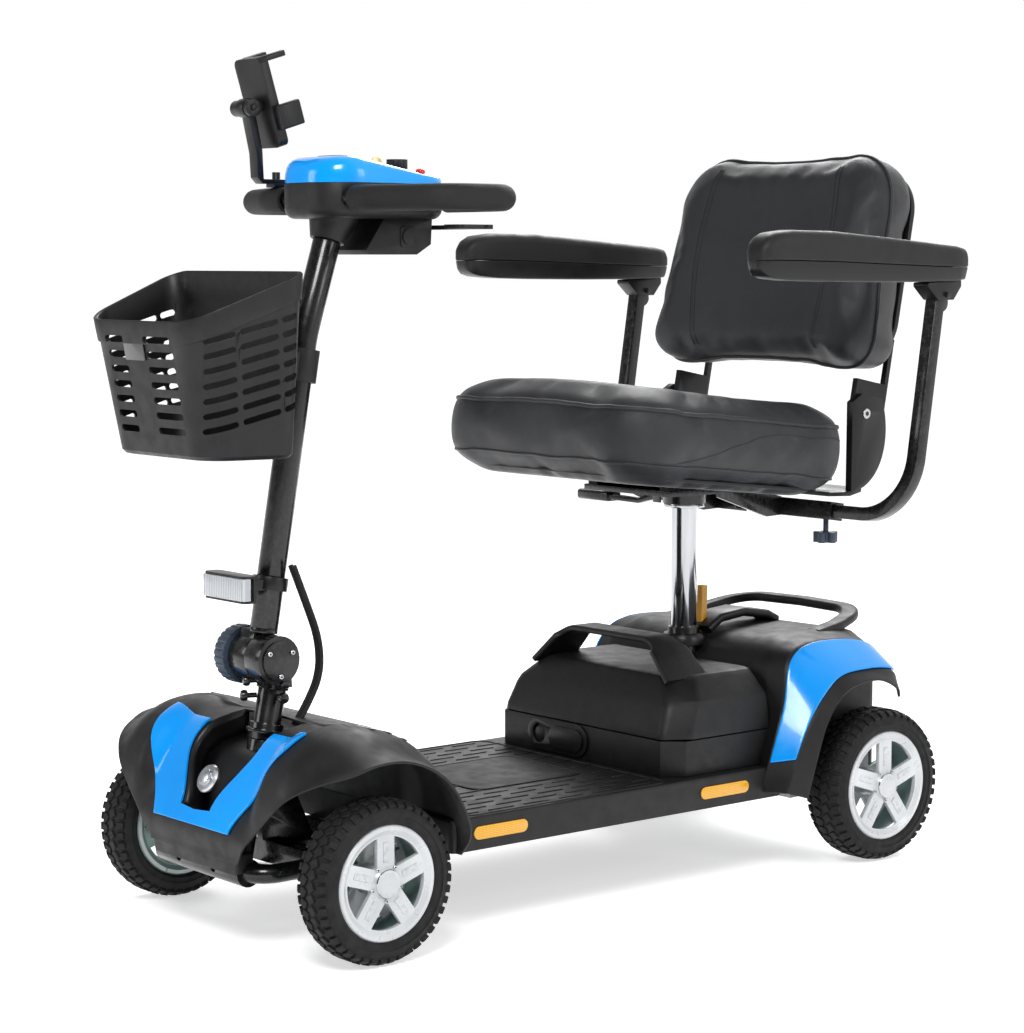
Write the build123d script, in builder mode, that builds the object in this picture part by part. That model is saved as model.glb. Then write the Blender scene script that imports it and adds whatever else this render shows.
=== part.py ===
from build123d import *
import math
import os

os.makedirs("parts", exist_ok=True)

# Four-wheel electric travel scooter. Millimetres, +Z up, the front towards -Y and the rider's
# left towards +X. The origin is on the floor, in the middle of the overall length and width.

# Overall stations
WHEELBASE = 940.0
AXLE_MID_Y = 43.0
FRONT_AXLE_Y = AXLE_MID_Y - WHEELBASE / 2
REAR_AXLE_Y = AXLE_MID_Y + WHEELBASE / 2

# Wheels
FRONT_TYRE_R = 108.5
FRONT_TYRE_W = 61.0
FRONT_RIM_R = 76.0
FRONT_WHEEL_X = 242.0
REAR_TYRE_R = 114.5
REAR_TYRE_W = 68.0
REAR_RIM_R = 82.0
REAR_WHEEL_X = 230.0
RIM_WALL = 5.0
SPOKE_COUNT = 5
SPOKE_W = 27.0
HUB_R = 21.0
CAP_R = 16.0
WINDOW_IN_R = 26.0

# Running clearances
RUN = 0.05
GAP = 0.3
SEAT_GAP = 0.8

# Front axle and steering gear
KINGPIN_X = 190.0
KINGPIN_R = 8.0
STUB_R = 8.0
SLEEVE_R = 15.0
SLEEVE_H = 40.0
FORK_PLATE = 8.0
ARM_LENGTH = 55.0
TIE_Z = 70.0
TIE_ROD_R = 5.5
TIE_PIN_R = 5.0
BEAM_W = 28.0
BEAM_H = 30.0

# Steering column
RAKE = 11.5
COLUMN_Y = -431.0
COLUMN_Z = 269.0
SHAFT_R = 10.0
HEAD_TUBE_R = 22.0
HEAD_TUBE_LENGTH = 98.0
LOWER_TUBE_R = 19.0
STEM_TOP = 82.0

# Tilt joint
BARREL_Y = -433.0
BARREL_Z = 369.0
BARREL_R = 33.0
BARREL_HALF = 37.0
TILT_BOLT_R = 6.0
DIAL_R = 40.0
DIAL_W = 22.0

# Tiller
TILLER_R = 19.0
TILLER_WALL = 2.5
TILLER_FOOT = (0.0, -432.0, 409.0)
TILLER_BEND = (0.0, -364.0, 800.0)
TILLER_HEAD = (0.0, -322.0, 934.0)
TILLER_BEND_R = 260.0
CLAMP_Z = 469.0
HEADLIGHT_W = 100.0
HEADLIGHT_H = 36.0
HEADLIGHT_D = 24.0
HEADLIGHT_Y = -484.0

# Console and handlebar
CONSOLE_FRONT_Y = -370.0
CONSOLE_REAR_Y = -152.0
CONSOLE_HALF = 75.0
CONSOLE_BOTTOM = 956.0
CONSOLE_TOP = 1003.0
COVER_TOP = 1038.0
BAR_Z = 982.0
BAR_R = 11.0
GRIP_R = 17.5
GRIP_START_X = 79.0
BAR_FRONT_Y = -334.0
BAR_REAR_Y = -181.0
BAR_HALF = 232.0
DIAL_POS = (0.0, -206.0)
HORN_POS = (50.0, -204.0)
KEY_POS = (-50.0, -204.0)
HORN_R = 6.5
DIAL_STEM_R = 3.0
PORT_BOX_HALF = 45.0

# Basket
BASKET_WALL = 3.0
BASKET_BOTTOM = 646.0
BASKET_TOP = 905.0
BASKET_BACK_Y = -462.0
BASKET_FRONT_TOP_Y = -640.0
BASKET_FRONT_BOTTOM_Y = -594.0

# Deck
DECK_HALF = 219.7
DECK_TOP = 162.5
DECK_BOTTOM = 117.0
DECK_FRONT_Y = -284.0
DECK_REAR_Y = 334.0
DECK_WALL = 4.0
RAIL_X = 95.0
RAIL_W = 26.0
RAIL_H = 26.0
RAIL_Z = 104.0

# Battery box
BATTERY_HALF = 201.0
BATTERY_FRONT_Y = 128.0
BATTERY_REAR_Y = 329.0
BATTERY_SPLIT_Z = 214.0
BATTERY_TOP_Z = 300.0
BATTERY_WALL = 4.0

# Seat post and seat
POST_Y = 337.0
POST_R = 19.9
SOCKET_R = 24.0
SOCKET_TOP = 344.0
POST_FOOT_Z = 152.0
POST_TOP_Z = 533.0
SPINDLE_R = 12.0
SEAT_TILT = 6.0
SEAT_HALF = 215.0
SEAT_MID_Y = 260.0
SEAT_BASE_Z = 580.0
SEAT_THICK = 112.0
BACK_LEAN = 11.0
HINGE_Y = 508.0
HINGE_Z = 672.0
HINGE_R = 6.0
BACK_HALF = 217.0
BACK_LOW = 66.0
BACK_HIGH = 392.0
BACK_REAR = -46.0
BACK_FRONT = 34.0
BACK_SHELL = 8.0

# Armrests
ARM_X = 325.0
ARM_TUBE = 20.0
ARM_BAR_Y = 482.0
ARM_BAR_Z = 524.0
ARM_LEAN = 8.9
ARM_BEND_R = 90.0
ARM_RISE = 322.0
ARM_PIVOT_Y = 540.0
ARM_PIVOT_Z = 850.0
PAD_W = 50.0
PAD_FRONT_Y = 160.0
PAD_REAR_Y = 584.0
RECEIVER = 27.0


def save(piece, name):
    """Label a finished piece and write it as one STEP file."""
    piece.part.label = name
    export_step(piece.part, f"parts/{name}.step")


def lean_plane(y, z, lean):
    """A plane across the object whose normal faces the front, tipped back by lean degrees."""
    tip = math.radians(lean)
    return Plane(origin=(0, y, z), x_dir=(1, 0, 0), z_dir=(0, -math.cos(tip), math.sin(tip)))


def side_plane(x):
    """A plane square to X, with its own x along +Y and its own y along +Z."""
    return Plane(origin=(x, 0, 0), x_dir=(0, 1, 0), z_dir=(1, 0, 0))


def column_point(along):
    """A point on the raked steering axis, measured up from the head-tube nut."""
    tip = math.radians(RAKE)
    return (0, COLUMN_Y + along * math.sin(tip), COLUMN_Z + along * math.cos(tip))


def column_plane(along):
    """A plane square to the steering axis, its own y pointing to the rear."""
    tip = math.radians(RAKE)
    return Plane(origin=column_point(along), x_dir=(1, 0, 0), z_dir=(0, math.sin(tip), math.cos(tip)))


# ---------------------------------------------------------------- wheels
def make_tyre(name, side, centre_x, axle_y, radius, width, rim_r):
    """A solid tyre with a rounded crown and a shoulder, on its rim seat."""
    plane = Plane(origin=(side * centre_x, axle_y, radius), x_dir=(side, 0, 0), z_dir=(0, 0, side))
    half = width / 2
    shoulder = 14.0
    with BuildPart() as tyre:
        with BuildSketch(plane):
            with BuildLine():
                Polyline((-half + 5, rim_r), (-half, rim_r + 12), (-half, radius - shoulder))
                ThreePointArc(
                    (-half, radius - shoulder), (-half + 5, radius - 4), (-half + shoulder, radius)
                )
                Line((-half + shoulder, radius), (half - shoulder, radius))
                ThreePointArc((half - shoulder, radius), (half - 5, radius - 4), (half, radius - shoulder))
                Polyline((half, radius - shoulder), (half, rim_r + 12), (half - 5, rim_r))
                Line((half - 5, rim_r), (-half + 5, rim_r))
            make_face()
        revolve(axis=Axis((side * centre_x, axle_y, radius), (1, 0, 0)))
    save(tyre, name)


def make_rim(name, side, centre_x, axle_y, radius, width, rim_r, bore):
    """Two bolted rim halves with spokes; the outer half carries the domed hub cap."""
    origin = (side * centre_x, axle_y, radius)
    section = Plane(origin=origin, x_dir=(side, 0, 0), z_dir=(0, 0, side))
    face = width / 2 - 3
    well = rim_r - RIM_WALL
    disc = 7.0
    dish = 4.0
    window_out_r = rim_r - 13
    spin = Axis(origin, (1, 0, 0))
    cavity = face - disc
    crown_r = (CAP_R**2 + 2.5**2) / 5.0
    half_rise = 2.5 - crown_r + math.sqrt(crown_r**2 - CAP_R**2 / 4)
    with BuildPart() as rim:
        with BuildSketch(section):
            Polygon(
                (face, bore),
                (face, HUB_R - 3),
                (face - dish, HUB_R),
                (face - dish, window_out_r),
                (face, rim_r - 7),
                (face, rim_r - 2),
                (face - 2, rim_r),
                (-face + 2, rim_r),
                (-face, rim_r - 2),
                (-face, rim_r - 7),
                (-face + dish, window_out_r),
                (-face + dish, HUB_R),
                (-face, HUB_R - 3),
                (-face, bore),
                align=None,
            )
            Polygon(
                (cavity - dish, HUB_R),
                (cavity - dish, window_out_r),
                (cavity, well - 3),
                (0, well),
                (-cavity, well - 3),
                (dish - cavity, window_out_r),
                (dish - cavity, HUB_R),
                (0, HUB_R - 2),
                align=None,
                mode=Mode.SUBTRACT,
            )
        revolve(axis=spin)
        window_plane = Plane(origin=origin, x_dir=(0, 1, 0), z_dir=(side, 0, 0))
        with BuildSketch(window_plane):
            Circle(window_out_r - 2)
            Circle(WINDOW_IN_R, mode=Mode.SUBTRACT)
            with PolarLocations(0, SPOKE_COUNT, start_angle=90):
                Rectangle(rim_r, SPOKE_W, align=(Align.MIN, Align.CENTER), mode=Mode.SUBTRACT)
        extrude(amount=width, both=True, mode=Mode.SUBTRACT)
        with BuildSketch(section):
            with BuildLine():
                Polyline((face, 0), (face, CAP_R), (face + 2, CAP_R))
                ThreePointArc((face + 2, CAP_R), (face + 2 + half_rise, CAP_R / 2), (face + 4.5, 0))
                Line((face + 4.5, 0), (face, 0))
            make_face()
        revolve(axis=spin)
    save(rim, name)


WHEEL_SETS = (
    ("front", FRONT_WHEEL_X, FRONT_AXLE_Y, FRONT_TYRE_R, FRONT_TYRE_W, FRONT_RIM_R, STUB_R + RUN),
    ("rear", REAR_WHEEL_X, REAR_AXLE_Y, REAR_TYRE_R, REAR_TYRE_W, REAR_RIM_R, SHAFT_R + RUN),
)
SIDES = (("left", 1), ("right", -1))
for end, wheel_x, axle_y, tyre_r, tyre_w, rim_r, bore in WHEEL_SETS:
    for side_name, side in SIDES:
        make_tyre(f"{end}_tyre_{side_name}", side, wheel_x, axle_y, tyre_r, tyre_w, rim_r)
        make_rim(f"{end}_rim_{side_name}", side, wheel_x, axle_y, tyre_r, tyre_w, rim_r, bore)


# ---------------------------------------------------------------- chassis frame
AXLE_Z = FRONT_TYRE_R
BEAM_END = KINGPIN_X - 8
SPINE_HALF = 26.0
CROSS_Y = -310.0
RAIL_REAR_Y = 455.0
with BuildPart() as chassis_frame:
    with Locations((0, FRONT_AXLE_Y, AXLE_Z)):
        Box(2 * BEAM_END, BEAM_W, BEAM_H)
    with Locations((KINGPIN_X, FRONT_AXLE_Y, AXLE_Z), (-KINGPIN_X, FRONT_AXLE_Y, AXLE_Z)):
        Cylinder(SLEEVE_R, SLEEVE_H)
    with Locations((0, (FRONT_AXLE_Y + CROSS_Y) / 2, RAIL_Z)):
        Box(2 * SPINE_HALF, CROSS_Y - FRONT_AXLE_Y, RAIL_H)
    with Locations((0, CROSS_Y, RAIL_Z)):
        Box(2 * RAIL_X + RAIL_W, 40, RAIL_H)
    for rail_x in (-RAIL_X, RAIL_X):
        with Locations((rail_x, (CROSS_Y + RAIL_REAR_Y) / 2, RAIL_Z)):
            Box(RAIL_W, RAIL_REAR_Y - CROSS_Y, RAIL_H)
    for cross_y in (0.0, POST_Y):
        with Locations((0, cross_y, RAIL_Z)):
            Box(2 * RAIL_X, 60, RAIL_H)
    with BuildSketch(column_plane(-HEAD_TUBE_LENGTH - 12)):
        Circle(HEAD_TUBE_R)
    extrude(amount=HEAD_TUBE_LENGTH)
    with BuildSketch(side_plane(0)):
        Polygon(
            (FRONT_AXLE_Y - BEAM_W / 2 + 2, RAIL_Z),
            (-446, 165),
            (-430, 250),
            (-418, 250),
            (FRONT_AXLE_Y + 70, RAIL_Z + RAIL_H / 2),
            (FRONT_AXLE_Y + 70, RAIL_Z),
            align=None,
        )
    extrude(amount=6, both=True)
    with BuildSketch(Plane.XY.offset(RAIL_Z)):
        with Locations((0, POST_Y)):
            Circle(SOCKET_R)
    extrude(amount=SOCKET_TOP - RAIL_Z)
    with Locations((0, POST_Y, SOCKET_TOP)):
        Hole(POST_R + 0.08, depth=SOCKET_TOP - POST_FOOT_Z + 2)
    with BuildSketch(column_plane(-HEAD_TUBE_LENGTH - 60)):
        Circle(SHAFT_R + RUN)
    extrude(amount=HEAD_TUBE_LENGTH + 70, mode=Mode.SUBTRACT)
    for pin_x in (-KINGPIN_X, KINGPIN_X):
        with Locations((pin_x, FRONT_AXLE_Y, AXLE_Z)):
            Cylinder(KINGPIN_R + RUN, SLEEVE_H + 20, mode=Mode.SUBTRACT)
save(chassis_frame, "chassis_frame")


# ---------------------------------------------------------------- knuckles and tie rod
FORK_INNER = SLEEVE_H / 2 + GAP
FORK_LOW = AXLE_Z - FORK_INNER - FORK_PLATE
WEB_X = FRONT_WHEEL_X - FRONT_TYRE_W / 2 - 6.5
STUB_END = FRONT_WHEEL_X + FRONT_TYRE_W / 2 - 6
TIE_PIN_Y = FRONT_AXLE_Y + ARM_LENGTH
for side_name, side in SIDES:
    with BuildPart() as knuckle:
        for plate_z in (AXLE_Z + FORK_INNER + FORK_PLATE / 2, FORK_LOW + FORK_PLATE / 2):
            with Locations((side * (KINGPIN_X - 14 + WEB_X + 5) / 2, FRONT_AXLE_Y, plate_z)):
                Box(WEB_X + 5 - KINGPIN_X + 14, 30, FORK_PLATE)
        with Locations((side * (WEB_X + 2.5), FRONT_AXLE_Y, AXLE_Z)):
            Box(5, 30, 2 * (FORK_INNER + FORK_PLATE))
        with Locations((side * KINGPIN_X, FRONT_AXLE_Y, AXLE_Z)):
            Cylinder(KINGPIN_R, 2 * (FORK_INNER + FORK_PLATE) + 8)
        with BuildSketch(side_plane(side * WEB_X)):
            with Locations((FRONT_AXLE_Y, AXLE_Z)):
                Circle(STUB_R)
        extrude(amount=side * (STUB_END - WEB_X))
        with Locations((side * KINGPIN_X, FRONT_AXLE_Y + ARM_LENGTH / 2, FORK_LOW + FORK_PLATE / 2)):
            Box(20, ARM_LENGTH, FORK_PLATE)
        with Locations((side * KINGPIN_X, TIE_PIN_Y, FORK_LOW + FORK_PLATE / 2)):
            Cylinder(10, FORK_PLATE)
        with BuildSketch(Plane.XY.offset(FORK_LOW)):
            with Locations((side * KINGPIN_X, TIE_PIN_Y)):
                Circle(TIE_PIN_R)
        extrude(amount=-(FORK_LOW - TIE_Z + 8))
    save(knuckle, f"knuckle_{side_name}")

PITMAN_DOWN = -186.0
PITMAN_PLATE = 8.0
PITMAN_PIN_Y = column_point(PITMAN_DOWN)[1] + ARM_LENGTH
SLOT_HALF = 12.0
with BuildPart() as tie_rod:
    with BuildSketch(side_plane(-KINGPIN_X)):
        with Locations((TIE_PIN_Y, TIE_Z)):
            Circle(TIE_ROD_R)
    extrude(amount=2 * KINGPIN_X)
    with Locations((-KINGPIN_X, TIE_PIN_Y, TIE_Z), (KINGPIN_X, TIE_PIN_Y, TIE_Z)):
        Cylinder(11, 9)
    with BuildSketch(Plane.XY.offset(TIE_Z - 3)):
        with Locations((0, (TIE_PIN_Y + PITMAN_PIN_Y - 20) / 2)):
            Rectangle(30, TIE_PIN_Y - PITMAN_PIN_Y + 20)
    extrude(amount=6)
    with BuildSketch(Plane.XY.offset(TIE_Z - 10)):
        with Locations((0, PITMAN_PIN_Y)):
            SlotCenterToCenter(SLOT_HALF, 2 * TIE_PIN_R + 3, rotation=90)
    extrude(amount=20, mode=Mode.SUBTRACT)
    with Locations((-KINGPIN_X, TIE_PIN_Y, TIE_Z), (KINGPIN_X, TIE_PIN_Y, TIE_Z)):
        Cylinder(TIE_PIN_R + RUN, 30, mode=Mode.SUBTRACT)
save(tie_rod, "tie_rod")


# ---------------------------------------------------------------- steering column
with BuildPart() as steering_stem:
    with BuildSketch(column_plane(PITMAN_DOWN)):
        Circle(SHAFT_R)
    extrude(amount=-PITMAN_DOWN)
    with BuildSketch(column_plane(PITMAN_DOWN)):
        Circle(15)
        with Locations((0, ARM_LENGTH / 2)):
            Rectangle(20, ARM_LENGTH)
        with Locations((0, ARM_LENGTH)):
            Circle(10)
    extrude(amount=PITMAN_PLATE)
    with BuildSketch(column_plane(PITMAN_DOWN)):
        with Locations((0, ARM_LENGTH)):
            Circle(TIE_PIN_R)
    extrude(amount=-16)
    with BuildSketch(column_plane(-11)):
        RegularPolygon(24, 6)
    extrude(amount=9)
    with BuildSketch(column_plane(-2)):
        Circle(27)
    extrude(amount=5)
    with BuildSketch(column_plane(3)):
        Circle(23)
    extrude(amount=8)
    with BuildSketch(column_plane(0)):
        Circle(LOWER_TUBE_R)
    extrude(amount=STEM_TOP - 24)
save(steering_stem, "steering_stem")

SADDLE_LOW = STEM_TOP - 24
with BuildPart() as stem_knuckle:
    with BuildSketch(column_plane(SADDLE_LOW)):
        Circle(LOWER_TUBE_R + 3)
    extrude(amount=22)
    with BuildSketch(side_plane(2)):
        with Locations((BARREL_Y, BARREL_Z)):
            Circle(BARREL_R)
    extrude(amount=BARREL_HALF - 2)
    with BuildSketch(side_plane(2)):
        foot = column_point(SADDLE_LOW)
        Polygon(
            (foot[1] - 20, foot[2] + 4),
            (foot[1] + 20, foot[2] + 2),
            (BARREL_Y + BARREL_R - 1, BARREL_Z),
            (BARREL_Y - BARREL_R + 1, BARREL_Z),
            align=None,
        )
    extrude(amount=16)
    with BuildSketch(side_plane(-BARREL_HALF - DIAL_W - 5)):
        with Locations((BARREL_Y, BARREL_Z)):
            Circle(TILT_BOLT_R)
    extrude(amount=BARREL_HALF + DIAL_W + 12)
    with BuildSketch(side_plane(-BARREL_HALF - DIAL_W - 9)):
        with Locations((BARREL_Y, BARREL_Z)):
            Circle(10)
    extrude(amount=5)
    with BuildSketch(side_plane(-BARREL_HALF - 2)):
        with Locations((BARREL_Y, BARREL_Z)):
            Circle(BARREL_R + 1)
    extrude(amount=BARREL_HALF + 4 - GAP, mode=Mode.SUBTRACT)
    with BuildSketch(side_plane(-BARREL_HALF - 5)):
        with Locations((BARREL_Y, BARREL_Z)):
            Circle(TILT_BOLT_R)
    extrude(amount=BARREL_HALF + 12)
    with BuildSketch(side_plane(BARREL_HALF)):
        with Locations((BARREL_Y, BARREL_Z)):
            Circle(BARREL_R - 6)
    extrude(amount=4)
save(stem_knuckle, "stem_knuckle")

with BuildPart() as tilt_dial:
    with BuildSketch(side_plane(-BARREL_HALF - DIAL_W - 2)):
        with Locations((BARREL_Y, BARREL_Z)):
            Circle(DIAL_R)
    extrude(amount=DIAL_W)
    with BuildSketch(side_plane(-BARREL_HALF - DIAL_W - 2)):
        with Locations((BARREL_Y, BARREL_Z)):
            with PolarLocations(DIAL_R + 1, 26):
                Circle(2.2)
    extrude(amount=DIAL_W, mode=Mode.SUBTRACT)
    with BuildSketch(side_plane(-BARREL_HALF - DIAL_W - 4)):
        with Locations((BARREL_Y, BARREL_Z)):
            Circle(TILT_BOLT_R + RUN)
    extrude(amount=DIAL_W + 10, mode=Mode.SUBTRACT)
save(tilt_dial, "tilt_dial")


# ---------------------------------------------------------------- tiller
def unit_between(start, end):
    """The unit direction from one point to another."""
    return (Vector(*end) - Vector(*start)).normalized()


LOWER_WAY = unit_between(TILLER_FOOT, TILLER_BEND)
UPPER_WAY = unit_between(TILLER_BEND, TILLER_HEAD)


def tiller_plane(z):
    """A plane square to the straight lower run of the tiller, at height z."""
    point = Vector(*TILLER_FOOT) + LOWER_WAY * ((z - TILLER_FOOT[2]) / LOWER_WAY.Z)
    return Plane(origin=point, x_dir=(1, 0, 0), z_dir=LOWER_WAY)


with BuildPart() as tiller_tube:
    with BuildLine() as tiller_line:
        FilletPolyline(TILLER_FOOT, TILLER_BEND, TILLER_HEAD, radius=TILLER_BEND_R)
    with BuildSketch(Plane(origin=TILLER_FOOT, x_dir=(1, 0, 0), z_dir=LOWER_WAY)):
        Circle(TILLER_R)
        Circle(TILLER_R - TILLER_WALL, mode=Mode.SUBTRACT)
    sweep(path=tiller_line.line)
save(tiller_tube, "tiller_tube")

with BuildPart() as tiller_knuckle:
    with BuildSketch(side_plane(-BARREL_HALF)):
        with Locations((BARREL_Y, BARREL_Z)):
            Circle(BARREL_R)
    extrude(amount=BARREL_HALF - GAP + 2)
    with BuildSketch(side_plane(-BARREL_HALF + 6)):
        Polygon(
            (BARREL_Y - BARREL_R + 6, BARREL_Z),
            (TILLER_FOOT[1] - 15, TILLER_FOOT[2] - 0.5),
            (TILLER_FOOT[1] + 15, TILLER_FOOT[2] - 5.5),
            (BARREL_Y + BARREL_R - 6, BARREL_Z),
            align=None,
        )
    extrude(amount=BARREL_HALF - 6 + 2 - GAP)
    with BuildSketch(tiller_plane(TILLER_FOOT[2] - 6)):
        Circle(TILLER_R - TILLER_WALL - 0.1)
    extrude(amount=46)
    with BuildSketch(tiller_plane(TILLER_FOOT[2] - 6)):
        Circle(TILLER_R)
    extrude(amount=5.8)
    with BuildSketch(side_plane(2)):
        with Locations((BARREL_Y, BARREL_Z)):
            Circle(BARREL_R + 0.8)
    extrude(amount=BARREL_HALF + 10, mode=Mode.SUBTRACT)
    with BuildSketch(side_plane(-BARREL_HALF - 5)):
        with Locations((BARREL_Y, BARREL_Z)):
            Circle(TILT_BOLT_R + RUN)
    extrude(amount=BARREL_HALF + 12, mode=Mode.SUBTRACT)
save(tiller_knuckle, "tiller_knuckle")

CLAMP_PLANE = tiller_plane(CLAMP_Z)
CLAMP_Y = CLAMP_PLANE.origin.Y
with BuildPart() as headlight_housing:
    with BuildSketch(CLAMP_PLANE):
        Circle(TILLER_R + 5)
    extrude(amount=9, both=True)
    with Locations((0, (CLAMP_Y + HEADLIGHT_Y) / 2 - 6, CLAMP_Z)):
        Box(26, CLAMP_Y - HEADLIGHT_Y - 12, 14)
    with BuildSketch(Plane.XY.offset(CLAMP_Z - HEADLIGHT_H / 2)):
        with Locations((0, HEADLIGHT_Y)):
            RectangleRounded(HEADLIGHT_W, HEADLIGHT_D, 9)
    extrude(amount=HEADLIGHT_H)
    with BuildSketch(Plane.XY.offset(CLAMP_Z - HEADLIGHT_H / 2 + 3)):
        with Locations((0, HEADLIGHT_Y - 6)):
            Rectangle(HEADLIGHT_W + 4, HEADLIGHT_D - 6)
    extrude(amount=HEADLIGHT_H - 6, mode=Mode.SUBTRACT)
    with BuildSketch(CLAMP_PLANE):
        Circle(TILLER_R)
    extrude(amount=30, both=True, mode=Mode.SUBTRACT)
save(headlight_housing, "headlight_housing")

with BuildPart() as headlight_lens:
    with BuildSketch(Plane.XY.offset(CLAMP_Z - HEADLIGHT_H / 2 + 3.2)):
        with Locations((0, HEADLIGHT_Y - 6.4)):
            RectangleRounded(HEADLIGHT_W, HEADLIGHT_D - 7, 8)
    extrude(amount=HEADLIGHT_H - 6.4)
save(headlight_lens, "headlight_lens")


# ---------------------------------------------------------------- console
def console_outline(inset):
    """The plan of the console: rounded, a little wider at the front."""
    rear_half = CONSOLE_HALF - 10
    with BuildSketch() as plan:
        Polygon(
            (-CONSOLE_HALF + inset, CONSOLE_FRONT_Y + inset),
            (CONSOLE_HALF - inset, CONSOLE_FRONT_Y + inset),
            (rear_half - inset, CONSOLE_REAR_Y - inset),
            (-rear_half + inset, CONSOLE_REAR_Y - inset),
            align=None,
        )
        fillet(plan.vertices(), radius=56 - inset)
    return plan.sketch


NECK_PLANE = Plane(origin=TILLER_HEAD, x_dir=(1, 0, 0), z_dir=UPPER_WAY)
with BuildPart() as console_base:
    with BuildSketch(Plane.XY.offset(CONSOLE_BOTTOM)):
        add(console_outline(0))
    extrude(amount=CONSOLE_TOP - CONSOLE_BOTTOM)
    fillet(console_base.faces().sort_by(Axis.Z)[0].edges(), radius=14)
    with BuildSketch(NECK_PLANE.offset(-8)):
        Circle(TILLER_R + 4.5)
    with BuildSketch(NECK_PLANE.offset(34)):
        Circle(36)
    loft()
    for bar_y in (BAR_FRONT_Y, BAR_REAR_Y):
        with BuildSketch(side_plane(-CONSOLE_HALF - 20)):
            with Locations((bar_y, BAR_Z)):
                Circle(BAR_R + 0.2)
        extrude(amount=2 * CONSOLE_HALF + 40, mode=Mode.SUBTRACT)
    with BuildSketch(NECK_PLANE.offset(-40)):
        Circle(TILLER_R + 0.1)
    extrude(amount=40.3, mode=Mode.SUBTRACT)
save(console_base, "console_base")

with BuildPart() as console_cover:
    with BuildSketch(Plane.XY.offset(CONSOLE_TOP)):
        add(console_outline(1.5))
    extrude(amount=COVER_TOP - CONSOLE_TOP)
    with BuildSketch(side_plane(-CONSOLE_HALF - 5)):
        with BuildLine():
            crest = Spline(
                (CONSOLE_FRONT_Y - 5, CONSOLE_TOP + 14),
                (CONSOLE_FRONT_Y + 28, COVER_TOP - 2),
                (CONSOLE_FRONT_Y + 75, COVER_TOP - 4),
                (CONSOLE_FRONT_Y + 130, CONSOLE_TOP + 19),
                (CONSOLE_REAR_Y - 20, CONSOLE_TOP + 11),
                (CONSOLE_REAR_Y + 5, CONSOLE_TOP + 7),
            )
            Polyline(
                crest @ 1,
                (CONSOLE_REAR_Y + 5, COVER_TOP + 20),
                (CONSOLE_FRONT_Y - 5, COVER_TOP + 20),
                crest @ 0,
            )
        make_face()
    extrude(amount=2 * CONSOLE_HALF + 10, mode=Mode.SUBTRACT)
    with BuildSketch(Plane.XY.offset(CONSOLE_TOP + 2)):
        with Locations(DIAL_POS):
            Circle(DIAL_STEM_R + RUN)
        with Locations(HORN_POS):
            Circle(HORN_R + GAP)
    extrude(amount=COVER_TOP - CONSOLE_TOP, mode=Mode.SUBTRACT)
    with BuildSketch(Plane.XY.offset(CONSOLE_TOP + 6)):
        with Locations(KEY_POS):
            Circle(9)
    extrude(amount=14)
save(console_cover, "console_cover")

with BuildPart() as handlebar:
    for side_name, side in SIDES:
        with BuildLine() as bar_line:
            FilletPolyline(
                (0, BAR_FRONT_Y, BAR_Z),
                (side * 118, BAR_FRONT_Y, BAR_Z),
                (side * BAR_HALF, -292, BAR_Z),
                (side * BAR_HALF, BAR_REAR_Y, BAR_Z),
                (0, BAR_REAR_Y, BAR_Z),
                radius=50,
            )
        with BuildSketch(side_plane(0)):
            with Locations((BAR_FRONT_Y, BAR_Z)):
                Circle(BAR_R)
        sweep(path=bar_line.line)
save(handlebar, "handlebar")

with BuildPart() as handlebar_grips:
    for side_name, side in SIDES:
        with BuildLine() as grip_line:
            FilletPolyline(
                (side * GRIP_START_X, BAR_FRONT_Y, BAR_Z),
                (side * 118, BAR_FRONT_Y, BAR_Z),
                (side * BAR_HALF, -292, BAR_Z),
                (side * BAR_HALF, BAR_REAR_Y, BAR_Z),
                (side * GRIP_START_X, BAR_REAR_Y, BAR_Z),
                radius=50,
            )
        with BuildSketch(side_plane(side * GRIP_START_X)):
            with Locations((BAR_FRONT_Y, BAR_Z)):
                Circle(GRIP_R)
                Circle(BAR_R + 0.1, mode=Mode.SUBTRACT)
        sweep(path=grip_line.line)
save(handlebar_grips, "handlebar_grips")

PORT_X = PORT_BOX_HALF
with BuildPart() as port_box:
    with BuildSketch(side_plane(-PORT_BOX_HALF)):
        Polygon(
            (-262, CONSOLE_BOTTOM - 0.2),
            (-292, 914),
            (-286, 908),
            (-206, 908),
            (-182, 922),
            (-180, CONSOLE_BOTTOM - 0.2),
            align=None,
        )
    extrude(amount=2 * PORT_BOX_HALF)
    with BuildSketch(side_plane(PORT_X)):
        with Locations((-222, 932)):
            RectangleRounded(26, 27, 4)
    extrude(amount=2)
    with BuildSketch(side_plane(PORT_X)):
        with Locations((-222, 932)):
            Circle(11)
    extrude(amount=5)
save(port_box, "port_box")

with BuildPart() as speed_dial:
    with BuildSketch(Plane.XY.offset(CONSOLE_TOP + 17)):
        with Locations(DIAL_POS):
            Circle(14.5)
            with PolarLocations(15.5, 18):
                Circle(1.6, mode=Mode.SUBTRACT)
    extrude(amount=18)
    with BuildSketch(Plane.XY.offset(CONSOLE_TOP + 17)):
        with Locations(DIAL_POS):
            Circle(DIAL_STEM_R)
    extrude(amount=-12)
save(speed_dial, "speed_dial")

with BuildPart() as horn_button:
    with BuildSketch(Plane.XY.offset(CONSOLE_TOP + 5)):
        with Locations(HORN_POS):
            Circle(HORN_R)
    extrude(amount=16)
    fillet(horn_button.faces().sort_by(Axis.Z)[-1].edges(), radius=4)
save(horn_button, "horn_button")

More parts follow.
